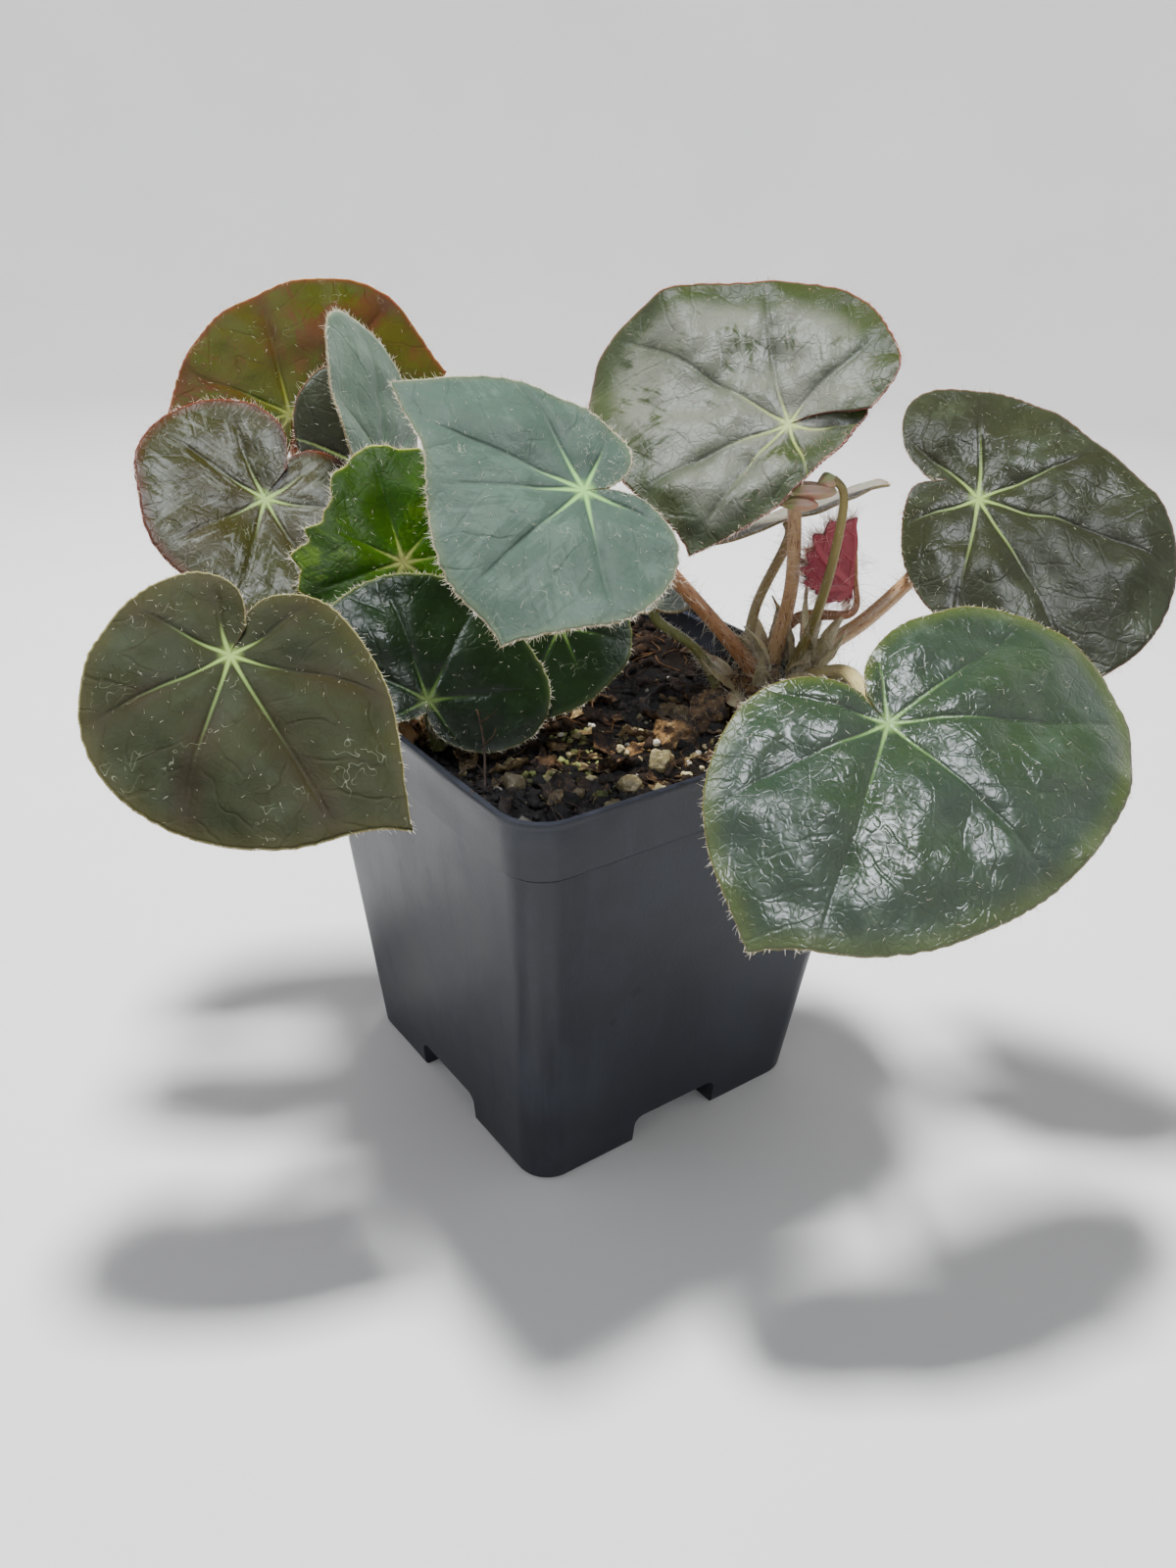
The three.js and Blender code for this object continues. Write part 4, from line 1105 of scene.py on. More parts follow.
LEAVES = [
    Leaf("front_left", (-77, 21, 120), 36, -113, -21, Slot.OLIVE_LEAF, OLIVE,
         (7, 15, 20, 23, 24, 26, 29, 33, 37, 40, 43, 45, 43, 36, 29, 25, 22, 16, 7),
         (-42, 9, 95), [(-49, 23, 108)], 2.1, TAN_STALK, dome=3, dip=2, lift=3, overlap=8, tips=[(237, 10)],
         veins=(40, 84, 141, 186, 222, 262, 315), vein_shares=(0.3, 0.6, 0.95, 1, 1, 0.5, 0.3), turns=240,
         rings=46, fringe=1.1, bristles=260),
    Leaf("front_right", (27, -66, 113), 35, -120, 35, Slot.DARK_LEAF, GLOSSY,
         (8, 19, 28, 36, 44, 50, 50, 48, 46, 46, 48, 52, 55, 52, 42, 29, 20, 13, 7),
         (43, -26, 104), [(42, -40, 111)], 2.1, CREAM_STALK, dome=5, dip=3, tips=[(108, 6)],
         veins=(40, 83, 122, 183, 237, 270, 320), vein_shares=(0.3, 0.75, 0.8, 0.8, 0.9, 0.9, 0.7), turns=270,
         rings=56, swell=1.2, fringe=1.3, rim="#6d6636", bristles=420),
    Leaf("centre", (-11, -11, 153), 41, -111, -90, Slot.GREY_LEAF, BLUE_GREY_PAINTED_SHEEN,
         (5, 11, 14, 16, 19, 24, 33, 38, 33, 32, 34, 36, 35, 32, 30, 27, 22, 14, 5),
         (36, -18, 104), [(20, -16, 122), (4, -13, 139)], 1.9, RED_STALK, dome=2, dip=2, roll=(180, 4),
         tips=[(139, 9), (237, 5)], veins=(62, 112, 149, 173, 218, 271, 322), turns=240, rings=46, fringe=1.3,
         vein_shares=(0.5, 0.9, 0.9, 0.9, 1, 0.9, 0.5), fringe_every=0.24, denticles=0.6, bristles=420),
    Leaf("top", (43, -13, 161), 47, -151, -62, Slot.GREY_LEAF, SILVERY_PAINTED_SHEEN,
         (18, 26, 29, 34, 36, 39, 48, 54, 48, 40, 35, 31, 23, 17, 14, 14, 15, 17, 10),
         (41, -17, 105), [(44, -18, 126)], 1.8, TAN_STALK, dome=2, dip=3, wave=2, waves=4, phase=40, lift=3,
         overlap=14, tips=[(219, 6)], veins=(44, 95, 137, 190, 215, 265, 320), swell=1.4,
         vein_shares=(0.3, 0.6, 0.9, 0.9, 1, 1, 0.9), turns=270, rings=50, fringe=1.4, fringe_every=0.3,
         rim="#7a4034", red_hair=True, bristles=300),
    Leaf("right", (90, -31, 142), 43, -143, 70, Slot.OLIVE_LEAF, DUSKY,
         (9, 15, 17, 20, 25, 31, 38, 46, 51, 49, 44, 36, 31, 30, 30, 32, 34, 24, 9),
         (46, -18, 105), [(61, -26, 115)], 2.1, TAN_STALK, dome=5, dip=2, lift=2, overlap=5, tips=[(146, 4)],
         veins=(60, 113, 145, 187, 232, 291, 332), vein_shares=(0.7, 0.9, 1, 1, 0.9, 0.8, 0.6), turns=250,
         rings=48, swell=1.2, fringe=1.8, fringe_every=0.4, rim="#7a4c3e", bristles=300),
    Leaf("left", (-50, 62, 139), 45, -105, -34, Slot.BROWN_LEAF, BRONZE_PAINTED_SHEEN,
         (9, 18, 24, 28, 30, 30, 28, 28, 28, 28, 32, 31, 28, 25, 23, 22, 21, 17, 9),
         (-38, 13, 96), [(-44, 36, 107), (-49, 54, 124)], 1.9, RED_STALK, dome=1, dip=2, wave=2.5, waves=4,
         lift=2, overlap=8, veins=(53, 90, 152, 190, 227, 280, 325), fringe=1.6, fringe_every=0.4,
         rim="#6e3226", bristles=200),
    Leaf("back_left", (-32, 86, 152), 48, -113, -176, Slot.BROWN_LEAF, BACKLIT,
         (8, 18, 22, 26, 31, 38, 42, 44, 41, 37, 34, 31, 29, 29, 31, 28, 23, 16, 7),
         (-33, 16, 96), [(-35, 40, 111), (-33, 72, 129)], 2.0, RED_STALK, dome=4, dip=1, wave=2, waves=3,
         tips=[(104, 4)], veins=(43, 90, 138, 185, 235, 280, 325), fringe=2.4, rim="#8a4434", swell=1.2),
    Leaf("bright", (-32, 29, 130), 54, -103, -174, Slot.BRIGHT_LEAF, BRIGHT,
         (8, 10, 11, 12, 13, 15, 18, 22, 26, 27, 24, 20, 20, 23, 22, 18, 13, 10, 8),
         (-34, 10, 97), [(-33, 20, 112)], 1.5, RED_STALK, dome=2, dip=1, teeth=(18, 3.5), swell=1.6,
         veins=(40, 85, 130, 180, 230, 275, 320), turns=200, rings=30, fringe=1.6, fringe_every=0.24,
         rim="#8f8a50", bristles=120),
    Leaf("low_front", (-41, 3, 108), 50, -110, 169, Slot.DARK_LEAF, DEEP,
         (4, 9, 14, 20, 25, 27, 26, 26, 27, 28, 29, 29, 28, 22, 17, 12, 7, 4, 3),
         (-37, 6, 94), [], 1.6, GREEN_STALK, dome=3, dip=2, veins=(44, 101, 158, 205, 249, 300), turns=180,
         rings=34, fringe=1.0, fringe_every=0.3, rim="#8a8a5a", swell=1.3),
    Leaf("edge_on", (-21, 56, 144), 67, -52, 153, Slot.GREY_LEAF, PALE_BLUE,
         (4, 8, 10, 11, 12, 14, 19, 26, 33, 37, 37, 28, 21, 17, 14, 11, 9, 7, 4),
         (-28, 8, 95), [(-20, 28, 114)], 1.5, RED_STALK, turns=140, rings=26, fringe=1.4, fringe_every=0.24),
    Leaf("shaded_back", (-22, 67, 142), 61, -121, -162, Slot.DARK_LEAF, DUSKY,
         (4, 6, 6, 6, 7, 8, 10, 14, 20, 26, 24, 20, 16, 12, 9, 8, 7, 6, 4),
         (-28, 13, 95), [(-31, 38, 116)], 1.4, RED_STALK, turns=110, rings=22, bristles=60),
    Leaf("shaded_front", (-8, 1, 119), 51, -121, 24, Slot.DARK_LEAF, DEEP,
         (4, 9, 13, 15, 17, 19, 21, 22, 20, 18, 17, 17, 16, 15, 13, 12, 10, 8, 4),
         (-25, 4, 93), [(-18, 5, 108)], 1.4, RED_STALK, turns=110, rings=22, fringe=1.0, bristles=60),
    Leaf("behind", (51, -7, 137), 25, 111, -57, Slot.GREY_LEAF, PALE_GREY,
         (4, 9, 14, 20, 24, 26, 27, 29, 31, 33, 32, 28, 25, 23, 22, 20, 15, 10, 4),
         (37, -12, 102), [(42, -9, 117)], 1.4, OLIVE_STALK, turns=140, rings=26, fringe=1.0, bristles=80),
    Leaf("small", (14, -5, 122), 6, 174, -120, Slot.GREY_LEAF, PALE_BLUE,
         (2, 5, 7, 8, 9, 9, 10, 11, 12, 12, 12, 11, 10, 9, 9, 8, 7, 5, 2),
         (31, -11, 98), [(24, -9, 110)], 1.3, GREEN_STALK, dome=1, turns=90, rings=16, fringe=1.0, down=1.5,
         bristles=30),
    Leaf("young_red", (57, -25, 124), 95, 144, 180, Slot.RED_LEAF, CRIMSON,
         (1, 2, 3, 5, 7, 10, 13, 15, 16, 16, 15, 14, 12, 10, 7, 5, 3, 2, 1),
         (42, -13, 104), [(49, -16, 115)], 1.5, RED_STALK, dome=0, dip=0, closed=76, teeth=(22, 3.2),
         turns=180, rings=24, swell=0.9, fringe=4.0, fringe_every=0.09, down=5.0, rim="#943448",
         red_hair=True, veins=(60, 100, 140, 180, 220, 260, 300), bristles=120),
]


@dataclass
class Rhizome:
    """A knobbly creeping stem half sunk in the soil, with its pointed papery stipules.

    way is its middle line and radii its thickness along it; each stipule has a root, a tip and a width.
    """

    name: str
    way: Sequence[Point]
    radii: Sequence[float]
    knots: int
    stipules: Sequence[tuple[Point, Point, float]]
    wool: int = 0

    STIPULE_HAIRS = 70
    STEM_HAIRS = 220
    STEM_STEPS = 60

    def stem(self, bm: bmesh.types.BMesh) -> None:
        """Adds the stem: ringed with old leaf scars, its bark split lengthwise."""
        way = even_way(self.way, 150)
        t = np.linspace(0, 1, len(way))
        plain = np.interp(t, np.linspace(0, 1, len(self.radii)), self.radii)
        knots = 0.14 * np.cos(math.pi * self.knots * t)
        radii = plain * (0.94 + knots - 0.06 * np.cos(5 * math.pi * self.knots * t))
        radii[0] = radii[-1] = 0
        verts = wrap_tube(bm, way, radii, 56, lambda turn, far: 1 + 0.05 * math.sin(9 * turn + 6 * far))
        for vert in verts:
            spot = vert.co.copy()
            spot.x *= 0.45
            vert.co += 1.1 * noise.noise_vector(vert.co / 4.5) + 0.75 * noise.noise_vector(spot / 1.4)
            vert.co += 0.3 * noise.noise_vector(vert.co / 0.7)

    def stipule(self, bm: bmesh.types.BMesh, root: Point, tip: Point, width: float, lean: float) -> None:
        """Adds one stipule: a sheet drawn to a point, hollow towards the stem, and thickened.

        Args:
            bm: The bmesh that gets it.
            root: The middle of its foot.
            tip: Its point.
            width: Its width at the foot.
            lean: How far it bows out.
        """
        start, end = Vector(root), Vector(tip)
        up = (end - start).normalized()
        side = up.cross(Vector((0.3, 0.2, 1))).normalized()
        front = side.cross(up)
        uv = bm.loops.layers.uv.verify()
        sheet = bmesh.ops.create_grid(bm, x_segments=12, y_segments=22, size=0.5)["verts"]
        faces = {f for v in sheet for f in v.link_faces}
        for face in faces:
            face.material_index = 1
            for loop in face.loops:
                loop[uv].uv = (loop.vert.co.x * width, loop.vert.co.y * (end - start).length)
        for vert in sheet:
            across = vert.co.x * 2
            t = vert.co.y + 0.5
            half = 0.5 * width * (1 - t**1.7) * (0.85 + 0.3 * math.sin(math.pi * t)) + 0.05
            hollow = (1 - across * across) * half * 0.9
            bow = lean * math.sin(math.pi * t)
            crumple = 0.35 * noise.noise(vert.co * 6 + start) + 0.12 * math.cos(across * 11)
            vert.co = start + (end - start) * t + side * across * half + front * (hollow + bow + crumple)
        bmesh.ops.solidify(bm, geom=list(faces), thickness=0.22)

    def build(self, finishes: Finishes) -> None:
        """Builds the rhizome and its hairs with the shared materials."""
        bm = bmesh.new()
        self.stem(bm)
        for k, (root, tip, width) in enumerate(self.stipules):
            self.stipule(bm, root, tip, width, 1.0 if k % 2 else -0.8)
        bmesh.ops.recalc_face_normals(bm, faces=bm.faces)
        bark = MottledSkin("rhizome_bark", "#8a6a42", "#3c2816", 330.0, 0.8, 0.5, fleck="#ac9464")
        paper = MottledSkin("stipule_dry_paper", "#cfc79e", "#aea27a", 180.0, 0.5, 0.15, fleck="#a87a58")
        materials = [finishes.of(bark), finishes.of(paper)]
        register(piece_from(bm, self.name, materials), Slot.RHIZOME, self.name)
        draw = np.random.default_rng(SEED + len(self.stipules))
        coat = HairCoat()
        for root, tip, width in self.stipules:
            start, end = np.array(root, float), np.array(tip, float)
            many = self.STIPULE_HAIRS
            t = draw.uniform(0.1, 1.0, (many, 1))
            where = start + (end - start) * t + draw.normal(size=(many, 3)) * width * 0.18 * (1 - t)
            aims = unit(end - start) + 0.7 * draw.normal(size=(many, 3))
            coat.grow(where, aims, draw.uniform(1.2, 4.2, many), 0.045)
        many, steps = self.STEM_HAIRS, self.STEM_STEPS
        way = even_way(self.way, steps)
        pick = draw.integers(12, steps - 2, many)
        out = unit(draw.normal(size=(many, 3)) + np.array([0, 0, 0.8]))
        thick = np.interp(pick / steps, np.linspace(0, 1, len(self.radii)), self.radii)[:, None]
        aims = out + 0.4 * draw.normal(size=(many, 3))
        coat.grow(way[pick] + out * thick * 0.8, aims, draw.uniform(0.8, 3.0, many), 0.045)
        if self.wool:
            feet = np.array([root for root, _, _ in self.stipules], float)
            ends = np.array([tip for _, tip, _ in self.stipules], float)
            pick = draw.integers(len(feet), size=self.wool)
            crown = feet[pick] + (ends - feet)[pick] * draw.uniform(0, 0.6, (self.wool, 1))
            aims = draw.normal(size=(self.wool, 3)) * 0.8 + (0, 0, 1)
            coat.grow(crown, aims, draw.uniform(3, 7.5, self.wool), 0.04)
        register(coat.build(self.name + "_hairs", finishes.hair, SEED, 0.5), Slot.RHIZOME)


RHIZOMES = [
    Rhizome(
        "rhizome_right",
        [(-3, -19, 91), (10, -18, 93), (24, -15, 95), (34, -14, 98), (42, -20, 102)],
        [3.0, 4.3, 4.7, 5.5, 5.8],
        7,
        [
            ((30, -17, 99), (24, -27, 102), 5), ((34, -11, 100), (27, -3, 107), 5),
            ((41, -23, 102), (37, -32, 108), 5), ((40, -14, 103), (33, -12, 113), 5),
            ((43, -14, 104), (45, -6, 114), 6), ((36, -20, 101), (30, -25, 109), 5),
            ((46, -22, 105), (43, -26, 117), 6), ((47, -15, 104), (50, -9, 113), 5),
            ((45, -24, 103), (52, -34, 107), 6),
            ((44, -19, 106), (43, -13, 121), 5), ((45, -23, 106), (49, -18, 124), 6),
            ((38, -18, 104), (33, -15, 116), 5), ((38, -23, 102), (33, -29, 105), 4),
            ((41, -24, 104), (41, -29, 110), 4), ((42, -17, 104), (44, -14, 118), 4),
            ((49, -22, 105), (54, -20, 117), 5), ((34, -21, 101), (31, -24, 113), 3.5),
            ((50, -25, 105), (58, -24, 119), 6), ((31, -14, 100), (24, -11, 108), 4.5),
            ((38, -26, 104), (48, -36, 105.5), 5), ((47, -27, 106), (52, -29, 115), 4),
        ],
        900,
    ),
    Rhizome(
        "rhizome_left",
        [(-22, 3, 90), (-28, 8, 93), (-34, 11, 95), (-39, 10, 96)],
        [3, 4.5, 5, 4],
        5,
        [
            ((-35, 6, 96), (-28, -3, 99), 5), ((-40, 12, 98), (-46, 12, 107), 5),
            ((-31, 11, 98), (-24, 12, 106), 5), ((-38, 5, 96), (-41, 1, 104), 4),
        ],
    ),
]


@dataclass
class Flower:
    """A thin stalk that nods, and the closed bud that hangs from it between pointed bracts.

    buds give each bract's half sizes, its turn about Z and its place.
    """

    way: Sequence[Point] = (
        (42, -22, 104), (45, -26, 120), (47, -28, 140), (47, -27.5, 149), (44.5, -26, 152),
    )
    radius: float = 1.15
    buds: Sequence[tuple[Point, float, Point]] = (
        ((7.0, 2.6, 1.9), -0.62, (39.5, -23.5, 149.0)),
        ((4.6, 1.9, 1.5), -0.85, (37.0, -24.0, 146.6)),
        ((2.6, 1.7, 2.3), -0.3, (43.5, -25.5, 150.6)),
    )

    HAIRS = 160

    def build(self, finishes: Finishes) -> None:
        """Builds the stalk, the bud and their hairs with the shared materials."""
        way = even_way(self.way, 70)
        t = np.linspace(0, 1, len(way))
        radii = self.radius * (1.15 - 0.35 * t)
        radii[0] = radii[-1] = 0
        bm = bmesh.new()
        wrap_tube(bm, way, radii, 14, lambda turn, far: 1 + 0.05 * math.sin(5 * turn))
        bmesh.ops.recalc_face_normals(bm, faces=bm.faces)
        skin = finishes.of(StalkSkin("flower", "#6e6434", "#86793e", "#7a4a2a", 0.35))
        register(piece_from(bm, "flower_stalk", [skin]), Slot.GREEN_STALK, "flower_stalk")
        bm = bmesh.new()
        for size, turn, at in self.buds:
            ball = bmesh.ops.create_uvsphere(bm, u_segments=36, v_segments=24, radius=1)["verts"]
            for vert in ball:
                # drawn to a point at one end, with the folds that run to it
                slim = 1 - 0.75 * max(-vert.co.x, 0) ** 1.5
                fold = slim * (1 + 0.09 * math.cos(6 * math.atan2(vert.co.z, vert.co.y)))
                droop = 0.5 * max(-vert.co.x, 0) ** 2
                vert.co = Vector((vert.co.x, vert.co.y * fold, vert.co.z * fold - droop))
            bmesh.ops.scale(bm, verts=ball, vec=size)
            bmesh.ops.rotate(bm, verts=ball, matrix=Matrix.Rotation(turn, 3, "Z"), cent=(0, 0, 0))
            bmesh.ops.translate(bm, verts=ball, vec=at)
        flesh = finishes.of(MottledSkin("bud_bracts", "#a8846c", "#86905a", 150.0, 0.5, 0.1, fleck="#b0705e"))
        register(piece_from(bm, "flower_bud", [flesh]), Slot.BUD, "flower_bud")
        draw = np.random.default_rng(SEED)
        coat = HairCoat()
        pick = draw.integers(3, 68, self.HAIRS)
        out = unit(draw.normal(size=(self.HAIRS, 3)))
        coat.grow(way[pick] + out * 0.8, out, draw.uniform(0.5, 1.6, self.HAIRS), 0.035)
        register(coat.build("flower_hairs", finishes.hair, SEED), Slot.GREEN_STALK)


@dataclass
class Pot:
    """Square nursery pot, moulded in one piece, with four feet and a channel under its base."""

    top_width: float = 104.0
    base_width: float = 80.0
    height: float = 104.5
    band_height: float = 15.0
    band_step: float = 0.9
    lip_height: float = 2.0
    lip_step: float = 0.8
    wall: float = 1.3
    top_corner: float = 9.0
    base_corner: float = 8.0
    channel_width: float = 25.0
    channel_height: float = 8.0
    drain_radius: float = 4.0
    drain_reach: float = 25.0
    corner_steps: int = 12
    side_steps: int = 10

    def half(self, z: float) -> float:
        """Gives the tapered body's half width at a height."""
        body = self.top_width / 2 - self.lip_step - self.band_step
        return self.base_width / 2 + (body - self.base_width / 2) * z / self.height

    def corner(self, z: float) -> float:
        """Gives the corner radius at a height."""
        return self.base_corner + (self.top_corner - self.base_corner) * z / self.height

    def ring_point(self, k: int, z: float, grow: float) -> Vector:
        """Gives a point of the square ring at a height.

        Args:
            k: The point's number, round the ring.
            z: The height.
            grow: How far it stands out from the body.

        Returns:
            The point.
        """
        half, radius = self.half(z) + grow, self.corner(z) + grow
        each = self.corner_steps + self.side_steps
        quarter, step = divmod(k, each)
        inner = half - radius
        if step <= self.corner_steps:
            angle = math.radians(90 * step / self.corner_steps)
            spot = Vector((inner + radius * math.cos(angle), inner + radius * math.sin(angle), z))
        else:
            share = (step - self.corner_steps) / self.side_steps
            spot = Vector((inner * (1 - 2 * share), half, z))
        return Matrix.Rotation(math.radians(90 * quarter), 3, "Z") @ spot

    def shell(self, name: str, profile: Sequence[tuple[float, float]]) -> bpy.types.Object:
        """Builds a closed square body from a profile.

        Args:
            name: The object's name.
            profile: Height and how far out, from the bottom up.

        Returns:
            The body.
        """
        bm = bmesh.new()
        around = 4 * (self.corner_steps + self.side_steps)
        bmesh.ops.create_grid(bm, x_segments=around, y_segments=len(profile) - 1, size=0.5)
        for vert in bm.verts:
            k = round((vert.co.x + 0.5) * around) % around
            z, grow = profile[round((vert.co.y + 0.5) * (len(profile) - 1))]
            vert.co = self.ring_point(k, z, grow)
        bmesh.ops.remove_doubles(bm, verts=bm.verts, dist=1e-4)
        bmesh.ops.holes_fill(bm, edges=[edge for edge in bm.edges if edge.is_boundary])
        bmesh.ops.recalc_face_normals(bm, faces=bm.faces)
        return piece_from(bm, name, [])

    def cutter(self, name: str, size: Point, at: Point, round_edges: float = 0.0) -> bpy.types.Object:
        """Builds a box to cut with.

        Args:
            name: The object's name.
            size: Its full sizes.
            at: Its centre.
            round_edges: Radius of its long upper and lower edges.

        Returns:
            The box.
        """
        bm = bmesh.new()
        bmesh.ops.create_cube(bm, size=1)
        bmesh.ops.scale(bm, verts=bm.verts, vec=size)
        if round_edges:
            lengthwise = 0 if size[0] > size[1] else 1
            long = [e for e in bm.edges if abs((e.verts[0].co - e.verts[1].co)[lengthwise]) > 1]
            bmesh.ops.bevel(bm, geom=long, affect="EDGES", offset=round_edges, segments=4, profile=0.5,
                            material=-1)
        bmesh.ops.translate(bm, verts=bm.verts, vec=at)
        return piece_from(bm, name, [])

    def build(self, finishes: Finishes) -> None:
        """Builds the pot with the shared materials."""
        foot = self.height - self.band_height
        lip = self.height - self.lip_height
        out = self.band_step + self.lip_step
        levels = np.linspace(1.2, foot - 0.6, 12)
        outer = [(0, -0.8), (0.25, -0.3), (0.9, 0), *[(float(z), 0.0) for z in levels], (foot, 0.05),
                 (foot + 0.35, 0.45), (foot + 0.9, self.band_step), (foot + 6, self.band_step),
                 (lip - 0.3, self.band_step), (lip, self.band_step + 0.15), (lip + 0.25, out - 0.1),
                 (lip + 0.5, out), (self.height - 0.5, out), (self.height - 0.12, out - 0.15),
                 (self.height, out - 0.5)]
        pot = self.shell("pot_body", outer)
        across = 2 * self.half(self.height) + 20
        rib = self.channel_width + 2 * self.wall
        rib_top = self.channel_height + self.wall
        thin = -self.wall
        inner = [(self.wall, thin), (50, thin), (96, thin), (98, thin + self.band_step),
                 (lip, thin + self.band_step), (lip + 0.6, thin + out), (self.height + 1, thin + out)]
        inside = self.shell("pot_inside", inner)
        width, tall = self.channel_width, self.channel_height
        tools = [self.cutter("rib_x", (across, rib, 2 * rib_top), (0, 0, 0)),
                 self.cutter("rib_y", (rib, across, 2 * rib_top), (0, 0, 0))]
        self.cut(inside, tools)
        cuts = [inside, self.cutter("channel_x", (across, width, 2 * tall), (0, 0, 0), 2.5),
                self.cutter("channel_y", (width, across, 2 * tall), (0, 0, 0), 2.5)]
        for x, y in ((0, 0), (1, 0), (-1, 0), (0, 1), (0, -1)):
            bm = bmesh.new()
            bmesh.ops.create_cone(bm, cap_ends=True, segments=32, radius1=self.drain_radius,
                                  radius2=self.drain_radius, depth=4 * self.wall)
            where = (x * self.drain_reach, y * self.drain_reach, tall + self.wall / 2)
            bmesh.ops.translate(bm, verts=bm.verts, vec=where)
            cuts.append(piece_from(bm, "drain", []))
        self.cut(pot, cuts)
        pot.name = pot.data.name = "nursery_pot"
        pot.data.materials.append(finishes.of(PotPlastic()))
        pot.data.set_sharp_from_angle(angle=math.radians(32))
        register(pot, Slot.POT, "pot")

    @staticmethod
    def cut(body: bpy.types.Object, tools: Sequence[bpy.types.Object]) -> None:
        """Cuts tools out of a body and removes them.

        Args:
            body: The object that is cut.
            tools: The objects to cut with.
        """
        for tool in tools:
            step = body.modifiers.new("cut", "BOOLEAN")
            step.operation = "DIFFERENCE"
            step.solver = "EXACT"
            step.object = tool
        bpy.context.view_layer.update()
        graph = bpy.context.evaluated_depsgraph_get()
        shape = bpy.data.meshes.new_from_object(body.evaluated_get(graph))
        body.modifiers.clear()
        body.data = shape
        for polygon in shape.polygons:
            polygon.use_smooth = True
        for tool in tools:
            bpy.data.objects.remove(tool)


@dataclass
class Soil:
    """Peat potting soil with perlite, grit, moss, fibres and dead scraps lying in it.

    Lengths are in millimetres, places in the pot's own frame.
    """

    crumbs: int = 2000
    specks: int = 110
    grit: int = 90
    moss: int = 130
    fibres: int = 200
    flakes: int = 70
    reach: float = 47.5
    top: BVHTree = field(init=False)

    def height(self, x: float, y: float) -> float:
        """Finds the soil's surface.

        Args:
            x: Place along X.
            y: Place along Y.

        Returns:
            The height there.
        """
        start = to_frame((x, y, 140))
        hit = self.top.ray_cast(start, Vector((0, 0, -1)))[0]
        return hit.z / MM if hit else 94.0

    def ground(self, finishes: Finishes) -> None:
        """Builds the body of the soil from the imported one, its top broken into fine crumb."""
        bm = bmesh.new()
        bm.from_mesh(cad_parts["soil"].data)
        bmesh.ops.remove_doubles(bm, verts=bm.verts, dist=1e-6)
        upper = [f for f in bm.faces if f.normal.z > 0.3 and f.calc_center_median().z > 85 * MM]
        edges = list({e for f in upper for e in f.edges if e.calc_length() > 2 * MM})
        bmesh.ops.subdivide_edges(bm, edges=edges, cuts=3, use_grid_fill=True)
        bmesh.ops.triangulate(bm, faces=bm.faces)
        bm.normal_update()
        for vert in bm.verts:
            if vert.co.z > 88 * MM and vert.normal.z > 0.1:
                p = vert.co / MM
                rough = noise.noise(p / 5) * 0.9 + noise.noise(p / 2.1) * 0.8 + noise.noise(p / 0.9) * 0.35
                vert.co.z += (rough - 0.3) * MM
        self.top = BVHTree.FromBMesh(bm)
        for face in bm.faces:
            face.smooth = True
        mesh = bpy.data.meshes.new("soil_body")
        bm.to_mesh(mesh)
        bm.free()
        peat = finishes.of(MottledSkin("moist_peat", "#0b0806", "#17100b", 700.0, 0.9, 0.5))
        register(stand("soil_body", mesh, [peat]), Slot.SOIL, "soil")

    @staticmethod
    def stones(fine: int, seed: int, rough: float) -> list[tuple[np.ndarray, np.ndarray]]:
        """Makes a few uneven stones of unit radius.

        Args:
            fine: Subdivisions of the ball that each starts from.
            seed: Changes the stones.
            rough: How uneven they are.

        Returns:
            Points and faces of each.
        """
        made = []
        for k in range(7):
            bm = bmesh.new()
            bmesh.ops.create_icosphere(bm, subdivisions=fine, radius=1)
            other = Vector((seed + 7 * k, 0, 0))
            for vert in bm.verts:
                swell = noise.noise(vert.co * 1.1 + other) + 0.55 * noise.noise(vert.co * 2.7 + other)
                vert.co *= 1 + rough * swell
            points = np.array([v.co for v in bm.verts])
            faces = np.array([[v.index for v in f.verts] for f in bm.faces])
            bm.free()
            made.append((points, faces))
        return made

    def strew(
        self,
        name: str,
        spots: Sequence[tuple[float, float, float]],
        finish: MottledSkin,
        finishes: Finishes,
        flat: float = 0.8,
        rough: float = 0.45,
        fine: int = 2,
    ) -> None:
        """Lays stones or crumbs on the soil as one piece.

        Args:
            name: The piece's name.
            spots: Place and radius of each.
            finish: Its finish.
            finishes: The shared materials.
            flat: How much flatter than wide they are.
            rough: How uneven they are.
            fine: Subdivisions of each stone that is 0.75 mm or more; smaller ones get one less.
        """
        draw = np.random.default_rng(SEED + len(spots))
        kinds = {level: self.stones(level, len(spots), rough) for level in (fine, fine - 1)}
        points, faces, tones = [], [], []
        start = 0
        for x, y, size in spots:
            shapes = kinds[fine if size > 0.75 else fine - 1]
            shape, order = shapes[draw.integers(len(shapes))]
            turn = Matrix.Rotation(draw.uniform(0, 6.28), 3, "Z")
            spin = turn @ Matrix.Rotation(draw.uniform(-0.7, 0.7), 3, "X")
            stretch = np.array([1.0, draw.uniform(0.6, 0.95), flat * draw.uniform(0.8, 1.2)]) * size
            centre = np.array(to_frame((x, y, self.height(x, y) + 0.3 * size * flat)))
            points.append((shape * stretch) @ np.array(spin).T * MM + centre)
            faces.append(order + start)
            tones.append(np.full(len(shape), draw.uniform(0, 1) ** 2))
            start += len(shape)
        mesh = bpy.data.meshes.new(name)
        mesh.from_pydata(np.concatenate(points).tolist(), [], np.concatenate(faces).tolist())
        mesh.attributes.new("tone", "FLOAT", "POINT").data.foreach_set("value", np.concatenate(tones))
        mesh.shade_smooth()
        register(stand(name, mesh, [finishes.of(finish)]), Slot.SOIL)

